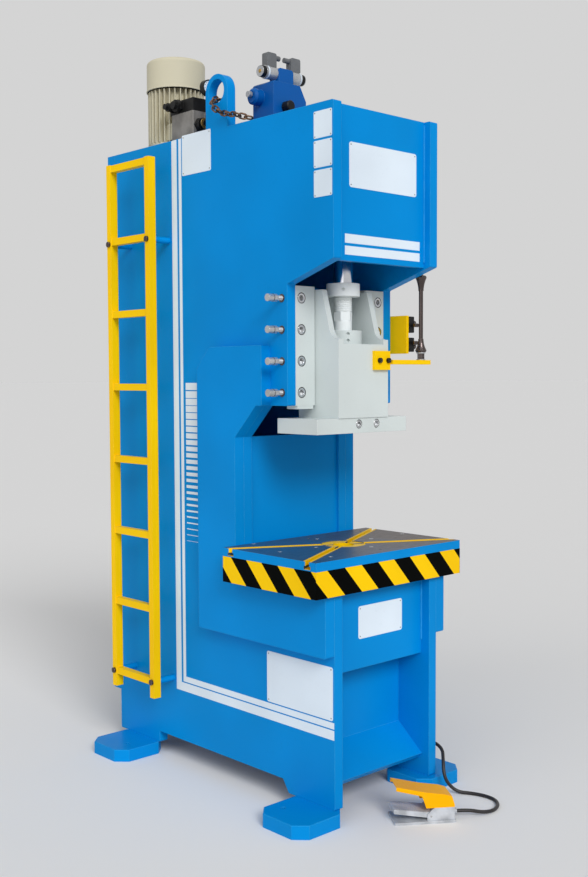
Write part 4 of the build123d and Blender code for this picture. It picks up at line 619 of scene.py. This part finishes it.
def hazard(start, end, first, lean):
    """Black stripes between two ends, the one at first and those a pitch apart, clipped to the ends."""
    shapes = []
    for i in STRIPE_COUNTS:
        near = first + i * STRIPE_PITCH
        far = near + STRIPE_WIDTH
        stripe = [(near, TABLE_LOW_Z), (far, TABLE_LOW_Z), (far + lean, BAND_Z), (near + lean, BAND_Z)]
        shapes.append(clip(clip(stripe, start, 1), end, -1))
    return [shape for shape in shapes if len(shape) > 2]


def slot_end_shape(centre):
    """Corners of a T-slot's mouth on the table's side, going down and back up from the top."""
    neck = SLOT_NECK / math.cos(SLOT_ANGLE)
    foot = SLOT_FOOT / math.cos(SLOT_ANGLE)
    return [(centre + neck, TABLE_TOP_Z), (centre + neck, SLOT_NECK_Z), (centre + foot, SLOT_NECK_Z),
            (centre + foot, SLOT_FOOT_Z), (centre - foot, SLOT_FOOT_Z), (centre - foot, SLOT_NECK_Z),
            (centre - neck, SLOT_NECK_Z), (centre - neck, TABLE_TOP_Z)]


slot_run = TABLE_X * math.tan(SLOT_ANGLE)
side_band = [(TABLE_FRONT, BAND_Z), (TABLE_BACK, BAND_Z), (TABLE_BACK, TABLE_TOP_Z)]
side_band += slot_end_shape(TABLE_CENTRE + slot_run) + slot_end_shape(TABLE_CENTRE - slot_run)
side_band.append((TABLE_FRONT, TABLE_TOP_Z))
front_yellow = box_shape(-TABLE_X, TABLE_X, TABLE_LOW_Z, BAND_Z)
front_black = hazard(-HAZARD_X, HAZARD_X, FRONT_STRIPE_X, -STRIPE_LEAN)
front_band = box_shape(-TABLE_X, TABLE_X, BAND_Z, TABLE_TOP_Z)
side_yellow = box_shape(TABLE_FRONT, TABLE_BACK, TABLE_LOW_Z, BAND_Z)
side_black = hazard(HAZARD_FRONT, HAZARD_BACK, SIDE_STRIPE_DEPTH, STRIPE_LEAN)
for end, depth, side in (("front", TABLE_FRONT, -1), ("back", TABLE_BACK, 1)):
    front_marks(f"table_{end}_yellow", [front_yellow], "yellow_paint", depth, side)
    front_marks(f"table_{end}_black", front_black, "black_paint", depth + side * MARK_T, side)
    front_marks(f"table_{end}_band", [front_band], "blue_paint", depth, side)
for end, side in (("left", -1), ("right", 1)):
    side_marks(f"table_{end}_yellow", [side_yellow], "yellow_paint", side * TABLE_X, side)
    side_marks(f"table_{end}_black", side_black, "black_paint", side * (TABLE_X + MARK_T), side)
    side_marks(f"table_{end}_band", [side_band], "blue_paint", side * TABLE_X, side)


# Yellow paint along the T-slots, in the ring, and the plugs of the tapped holes

def slot_place(angle, along, across, z):
    """Point on the table from a slot's own line: distance along it and across it."""
    x = along * math.cos(angle) - across * math.sin(angle)
    depth = TABLE_CENTRE + along * math.sin(angle) + across * math.cos(angle)
    return at(x, depth, z)


def slot_reach(angle, across):
    """Distance along a slot's line to the table's side."""
    return (TABLE_X + math.copysign(1, math.cos(angle)) * across * math.sin(angle)) / abs(math.cos(angle))


def add_strip(bm, angle, first, second, move):
    """Adds paint along a slot from the ring to the table's side, between two (across, height) lines."""
    add_slab(bm, [
        slot_place(angle, RING_R, *first), slot_place(angle, slot_reach(angle, first[0]), *first),
        slot_place(angle, slot_reach(angle, second[0]), *second), slot_place(angle, RING_R, *second),
    ], move)


slot_paint = bmesh.new()
raised = shift(0, 0, MARK_T)
for angle in (SLOT_ANGLE, math.pi - SLOT_ANGLE, math.pi + SLOT_ANGLE, -SLOT_ANGLE):
    for side in (-1, 1):
        neck = side * SLOT_NECK
        edge = side * (SLOT_NECK + SLOT_PAINT)
        inward = slot_place(angle, 0, neck - side * MARK_T, 0) - slot_place(angle, 0, neck, 0)
        add_strip(slot_paint, angle, (neck, TABLE_TOP_Z), (edge, TABLE_TOP_Z), raised)
        add_strip(slot_paint, angle, (neck, SLOT_NECK_Z), (neck, TABLE_TOP_Z), inward)
    add_strip(slot_paint, angle, (-SLOT_FLOOR_PAINT, SLOT_FOOT_Z), (SLOT_FLOOR_PAINT, SLOT_FOOT_Z), raised)
piece("slot_paint", slot_paint, "yellow_paint")

ring_paint = bmesh.new()
for radius in (RING_R, RING_BORE):
    bmesh.ops.create_circle(ring_paint, segments=RING_STEPS, radius=radius / PER_METRE)
bmesh.ops.bridge_loops(ring_paint, edges=ring_paint.edges)
for angle in (SLOT_ANGLE, -SLOT_ANGLE):
    across = Vector((-math.sin(angle), math.cos(angle), 0))
    for side in (-1, 1):
        everything = ring_paint.verts[:] + ring_paint.edges[:] + ring_paint.faces[:]
        bmesh.ops.bisect_plane(ring_paint, geom=everything, dist=SAME_POINT,
                               plane_co=across * side * SLOT_NECK / PER_METRE, plane_no=across)
    over_slot = [face for face in ring_paint.faces
                 if abs(face.calc_center_median().dot(across)) < SLOT_NECK / PER_METRE]
    bmesh.ops.delete(ring_paint, geom=over_slot, context="FACES")
bmesh.ops.translate(ring_paint, vec=at(0, TABLE_CENTRE, RING_Z), verts=ring_paint.verts)
extrude(ring_paint, ring_paint.faces[:], raised)
bore_liner = ring(inner=39.7, outer=40.0, low=925, high=RING_Z - 0.1)
add_turned(ring_paint, bore_liner, at(0, TABLE_CENTRE, 0), steps=RING_STEPS)
piece("ring_paint", ring_paint, "yellow_paint")

plug = ring(inner=4.0, outer=8.5, low=0.0, high=0.7, round_off=0.3)
turned_piece("hole_plugs", "machined_steel",
             [(plug, at(x, depth, TABLE_TOP_Z), UP, 24) for x, depth in HOLES])


# Threads, washers, caps, and painted shade at the bracket and gib screws

THREAD_SINK = 0.6
ADJUSTERS = [at(-HALF_OUT, 265.5, z) for z in (1527, 1641, 1755, 1869)]
BRACKET_SCREWS = [at(x, 106, 1644.5) for x in (70.5, 117.5)]
LADDER_CAP_H = 8
LADDER_BOLTS = [at(-383, depth, z) for z in (345, 2136) for depth in (944, 1213)]
TRIP_ROD = at(307, 106, 0)
GIB_SCREWS = [(x, z) for z in (1527, 1641.7, 1756.4, 1871.1) for x in (-204, 204)]
GIB_FACE = 238


def thread(crest, root, start, end, pitch):
    """Profile of a threaded length: ridges from root to crest, closed inside the stem."""
    inside = root - THREAD_SINK
    ridge = ((root, 0.1), (crest, 0.4), (crest, 0.6), (root, 0.9))
    profile = [(inside, start)]
    along = start
    while along + pitch <= end:
        profile += [(radius, along + pitch * share) for radius, share in ridge]
        along += pitch
    profile += [(inside, end), (inside, start)]
    return profile


screw_ridges = thread(crest=34.2, root=32.2, start=1828, end=1882, pitch=7.5)
screw_thread = turned_piece("screw_thread", "grey_paint",
                            [(screw_ridges, at(0, TABLE_CENTRE, 0), UP, 56)], "ram")
# The thread takes the lighter copy of the grey paint, painted light
screw_thread.data.materials[0] = lit_screw_paint
adjuster_ridges = thread(crest=9.2, root=8.1, start=1, end=25, pitch=3.0)
turned_piece("adjuster_threads", "machined_steel",
             [(adjuster_ridges, place, LEFT, 24) for place in ADJUSTERS])
adjuster_rings = (ring(inner=8.2, outer=15.0, low=0.0, high=2.4, round_off=0.4),
                  ring(inner=8.2, outer=14.4, low=44.8, high=47.4, round_off=0.4))
turned_piece("adjuster_washers", "dark_steel",
             [(profile, place, LEFT, 28) for place in ADJUSTERS for profile in adjuster_rings])

# Black rings and discs over the two bracket screws: painted shade standing in for their dark holes
bracket_hole_shades = []
for place in BRACKET_SCREWS:
    bracket_hole_shades.append((ring(inner=4.4, outer=9.6, low=0.1, high=10.5, round_off=0.8), place, FORWARD, 28))
    bracket_hole_shades.append((disc(radius=4.6, low=9.6, high=9.9), place, FORWARD, 6))
turned_piece("bracket_screw_hole_shades", "black_plastic", bracket_hole_shades, "ram")
ladder_caps = []
for place in LADDER_BOLTS:
    ladder_caps.append((ring(inner=10.9, outer=11.6, low=0.2, high=8.2, round_off=0.2), place, LEFT, 28))
    ladder_caps.append((dome(radius=11.3, height=1.8), place + shift(-LADDER_CAP_H, 0, 0), LEFT, 28))
turned_piece("ladder_bolt_caps", "dark_steel", ladder_caps)
rod_rings = [ring(8.4, 17.5, low, high, round_off=0.6) for low, high in ((1647.2, 1651), (1672.5, 1676.8))]
turned_piece("rod_washers", "machined_steel", [(profile, TRIP_ROD, UP, 32) for profile in rod_rings], "ram")

screw_rim = ring(inner=11.5, outer=17.2, low=0.0, high=0.8, round_off=0.3)
turned_piece("gib_screw_rims", "chrome",
             [(screw_rim, at(x, GIB_FACE, z), FORWARD, 32) for x, z in GIB_SCREWS])
screw_shadow = ring(inner=18.3, outer=19.7, low=-0.9, high=0.0)
turned_piece("gib_screw_shadows", "black_paint",
             [(screw_shadow, at(x, GIB_FACE - 1, z), FORWARD, 32) for x, z in GIB_SCREWS])


# Power pack: dial, coil rings, noses and rims

GAUGE_X = -170
GAUGE_DEPTH = 807
GAUGE_Z = 2739
TICK_COUNT = 9
FIRST_TICK = math.radians(225)
TICK_STEP = math.radians(33.75)
TICK_CORNERS = ((18, -0.7), (24, -0.7), (24, 0.7), (18, 0.7))
HAND_CORNERS = ((-6, -7), (-3, -9), (16, 12))
COIL_DEPTH = 592
COIL_Z = 2777
COWL = at(-90, 1130, 0)
LID_DEPTH = 874
LID_T = 1.2


def on_gauge(across, above, out):
    """Point on the gauge from its centre, a distance out from the dial."""
    return at(GAUGE_X + across, GAUGE_DEPTH - out, GAUGE_Z + above)


def on_coil(x):
    """Point on the line of the two coils."""
    return at(x, COIL_DEPTH, COIL_Z)


dial_face = disc(radius=26.5, low=0, high=0.5)
turned_piece("gauge_dial", "white_paint", [(dial_face, on_gauge(0, 0, out=0), FORWARD, 40)])
ticks = bmesh.new()
for i in range(TICK_COUNT):
    angle = FIRST_TICK - i * TICK_STEP
    cos, sin = math.cos(angle), math.sin(angle)
    corners = [on_gauge(cos * far - sin * wide, sin * far + cos * wide, out=0.5)
               for far, wide in TICK_CORNERS]
    add_slab(ticks, corners, shift(0, -0.4, 0))
add_slab(ticks, [on_gauge(x, z, out=0.7) for x, z in HAND_CORNERS], shift(0, -0.6, 0))
add_turned(ticks, dome(radius=3.4, height=1.6), on_gauge(0, 0, out=0.6), FORWARD, 20)
piece("gauge_ticks", ticks, "black_paint")

turned_piece("coil_rings", "white_paint", [
    (ring(inner=25, outer=26.8, low=-3, high=3, round_off=0.4), on_coil(-58), LEFT, 40),
    (ring(inner=25, outer=26.8, low=-2, high=2, round_off=0.4), on_coil(112), LEFT, 40),
])
coil_sleeve = ring(inner=20, outer=22.2, low=1, high=20, round_off=1.2)
turned_piece("coil_sleeves", "black_plastic",
             [(coil_sleeve, on_coil(-65.5), LEFT, 40), (coil_sleeve, on_coil(117.5), RIGHT, 40)])
coil_nose = dome(radius=8, height=2.4)
turned_piece("brass_noses", "brass", [
    (coil_nose, on_coil(-88), LEFT, 24),
    (coil_nose, on_coil(140), RIGHT, 24),
    (ring(inner=12, outer=22, low=0, high=1.6, round_off=0.6), at(-168, 836, 2603), FORWARD, 32),
])
cowl_edge = ring(inner=122.5, outer=125.2, low=2786, high=2792, round_off=1.0)
turned_piece("cowl_rim", "beige_paint", [(cowl_edge, COWL, UP, 72)])
# A black ring just inside and below the cowl's rim: a painted shadow in the gap
cowl_shadow = ring(inner=118.5, outer=121.0, low=2782.5, high=2786, round_off=0.3)
turned_piece("cowl_gap_shadow", "black_paint", [(cowl_shadow, COWL, UP, 72)])
box_lid = bmesh.new()
lid_outline = round_shape(-142, -86, 2552, 2654, radius=5)
add_slab(box_lid, [at(x, LID_DEPTH, z) for x, z in lid_outline], shift(0, -LID_T, 0))
for x, z in ((-136, 2558), (-92, 2558), (-136, 2648), (-92, 2648)):
    add_turned(box_lid, dome(radius=3.2, height=1.6), at(x, LID_DEPTH - LID_T, z), FORWARD, 16)
piece("box_lid", box_lid, "aluminium")


# Weld beads, with their widths as shares of their size

BEAD_SIZE = 6.0
RIPPLE = 5
RIPPLE_OVERLAP = 1.15
BEAD_LIFT = 0.12
BEAD_NECK = 0.62
BEAD_SWELL = 0.8


def weld_bead(bm, x, depth, low_z, high_z, open_side):
    """Rippled upright bead in a corner that is open forward and to one side."""
    foot = at(x, depth, low_z)
    head = at(x, depth, high_z)
    count = max(2, int((head - foot).length * PER_METRE / RIPPLE))
    step = (head - foot) / count
    reach = step.length * PER_METRE * RIPPLE_OVERLAP
    centre = (FORWARD + open_side) * BEAD_SIZE * BEAD_LIFT / PER_METRE
    neck = BEAD_SIZE * BEAD_NECK
    profile = [(0, 0), (neck, 0), (BEAD_SIZE * BEAD_SWELL, reach * 0.5), (neck, reach), (0, reach)]
    for i in range(count):
        add_turned(bm, profile, foot + step * i + centre, UP, 10)


welds = bmesh.new()
weld_bead(welds, -235, LOWER_PANEL, 575, 815, RIGHT)
weld_bead(welds, 235, LOWER_PANEL, 575, 815, LEFT)
weld_bead(welds, -235, HEAD_PANEL, 2010, 2520, RIGHT)
weld_bead(welds, 235, HEAD_PANEL, 2010, 2520, LEFT)
piece("weld_beads", welds, "blue_paint")


# Floor, backdrop and light

sun_light = sum(strength * source.z for source, strength, _ in SUNS.values())
floor_light = AMBIENT + sun_light / math.pi
floor_mesh = bpy.data.meshes.new("floor")
floor_bm = bmesh.new()
bmesh.ops.create_grid(floor_bm, x_segments=1, y_segments=1, size=FLOOR_SIZE)
floor_bm.to_mesh(floor_mesh)
floor_bm.free()
floor = bpy.data.objects.new("floor", floor_mesh)
bpy.context.scene.collection.objects.link(floor)
floor_paint = bpy.data.materials.new("floor")
floor_paint.use_nodes = True
floor_shader = floor_paint.node_tree.nodes["Principled BSDF"]
floor_colour = [value / floor_light for value in linear(BACKDROP)[:3]]
floor_shader.inputs["Base Color"].default_value = (*floor_colour, 1.0)
floor_shader.inputs["Roughness"].default_value = 1.0
floor_shader.inputs["Specular IOR Level"].default_value = 0.0
floor_mesh.materials.append(floor_paint)

world = bpy.data.worlds.new("studio")
bpy.context.scene.world = world
world.use_nodes = True
sky = world.node_tree
lighting = sky.nodes["Background"]
lighting.inputs["Color"].default_value = (AMBIENT, AMBIENT, AMBIENT, 1.0)
lighting.inputs["Strength"].default_value = 1.0
backdrop = sky.nodes.new("ShaderNodeBackground")
backdrop.inputs["Color"].default_value = linear(BACKDROP)
backdrop.inputs["Strength"].default_value = 1.0
rays = sky.nodes.new("ShaderNodeLightPath")
seen = joined(sky, "MAXIMUM", rays.outputs["Is Camera Ray"], rays.outputs["Is Glossy Ray"])
seen = joined(sky, "MAXIMUM", seen, rays.outputs["Is Transmission Ray"])
choice = sky.nodes.new("ShaderNodeMixShader")
sky.links.new(seen, choice.inputs["Fac"])
sky.links.new(lighting.outputs["Background"], choice.inputs[1])
sky.links.new(backdrop.outputs["Background"], choice.inputs[2])
sky.links.new(choice.outputs["Shader"], sky.nodes["World Output"].inputs["Surface"])

for name, (source, strength, spread) in SUNS.items():
    sun = bpy.data.lights.new(name, "SUN")
    sun.energy = strength
    sun.angle = spread
    lamp = bpy.data.objects.new(name, sun)
    bpy.context.scene.collection.objects.link(lamp)
    turn = source.to_track_quat("Z", "Y").to_matrix().to_4x4()
    lamp.matrix_world = Matrix.Translation(source * SUN_DISTANCE) @ turn

bpy.context.scene.view_settings.view_transform = "Standard"
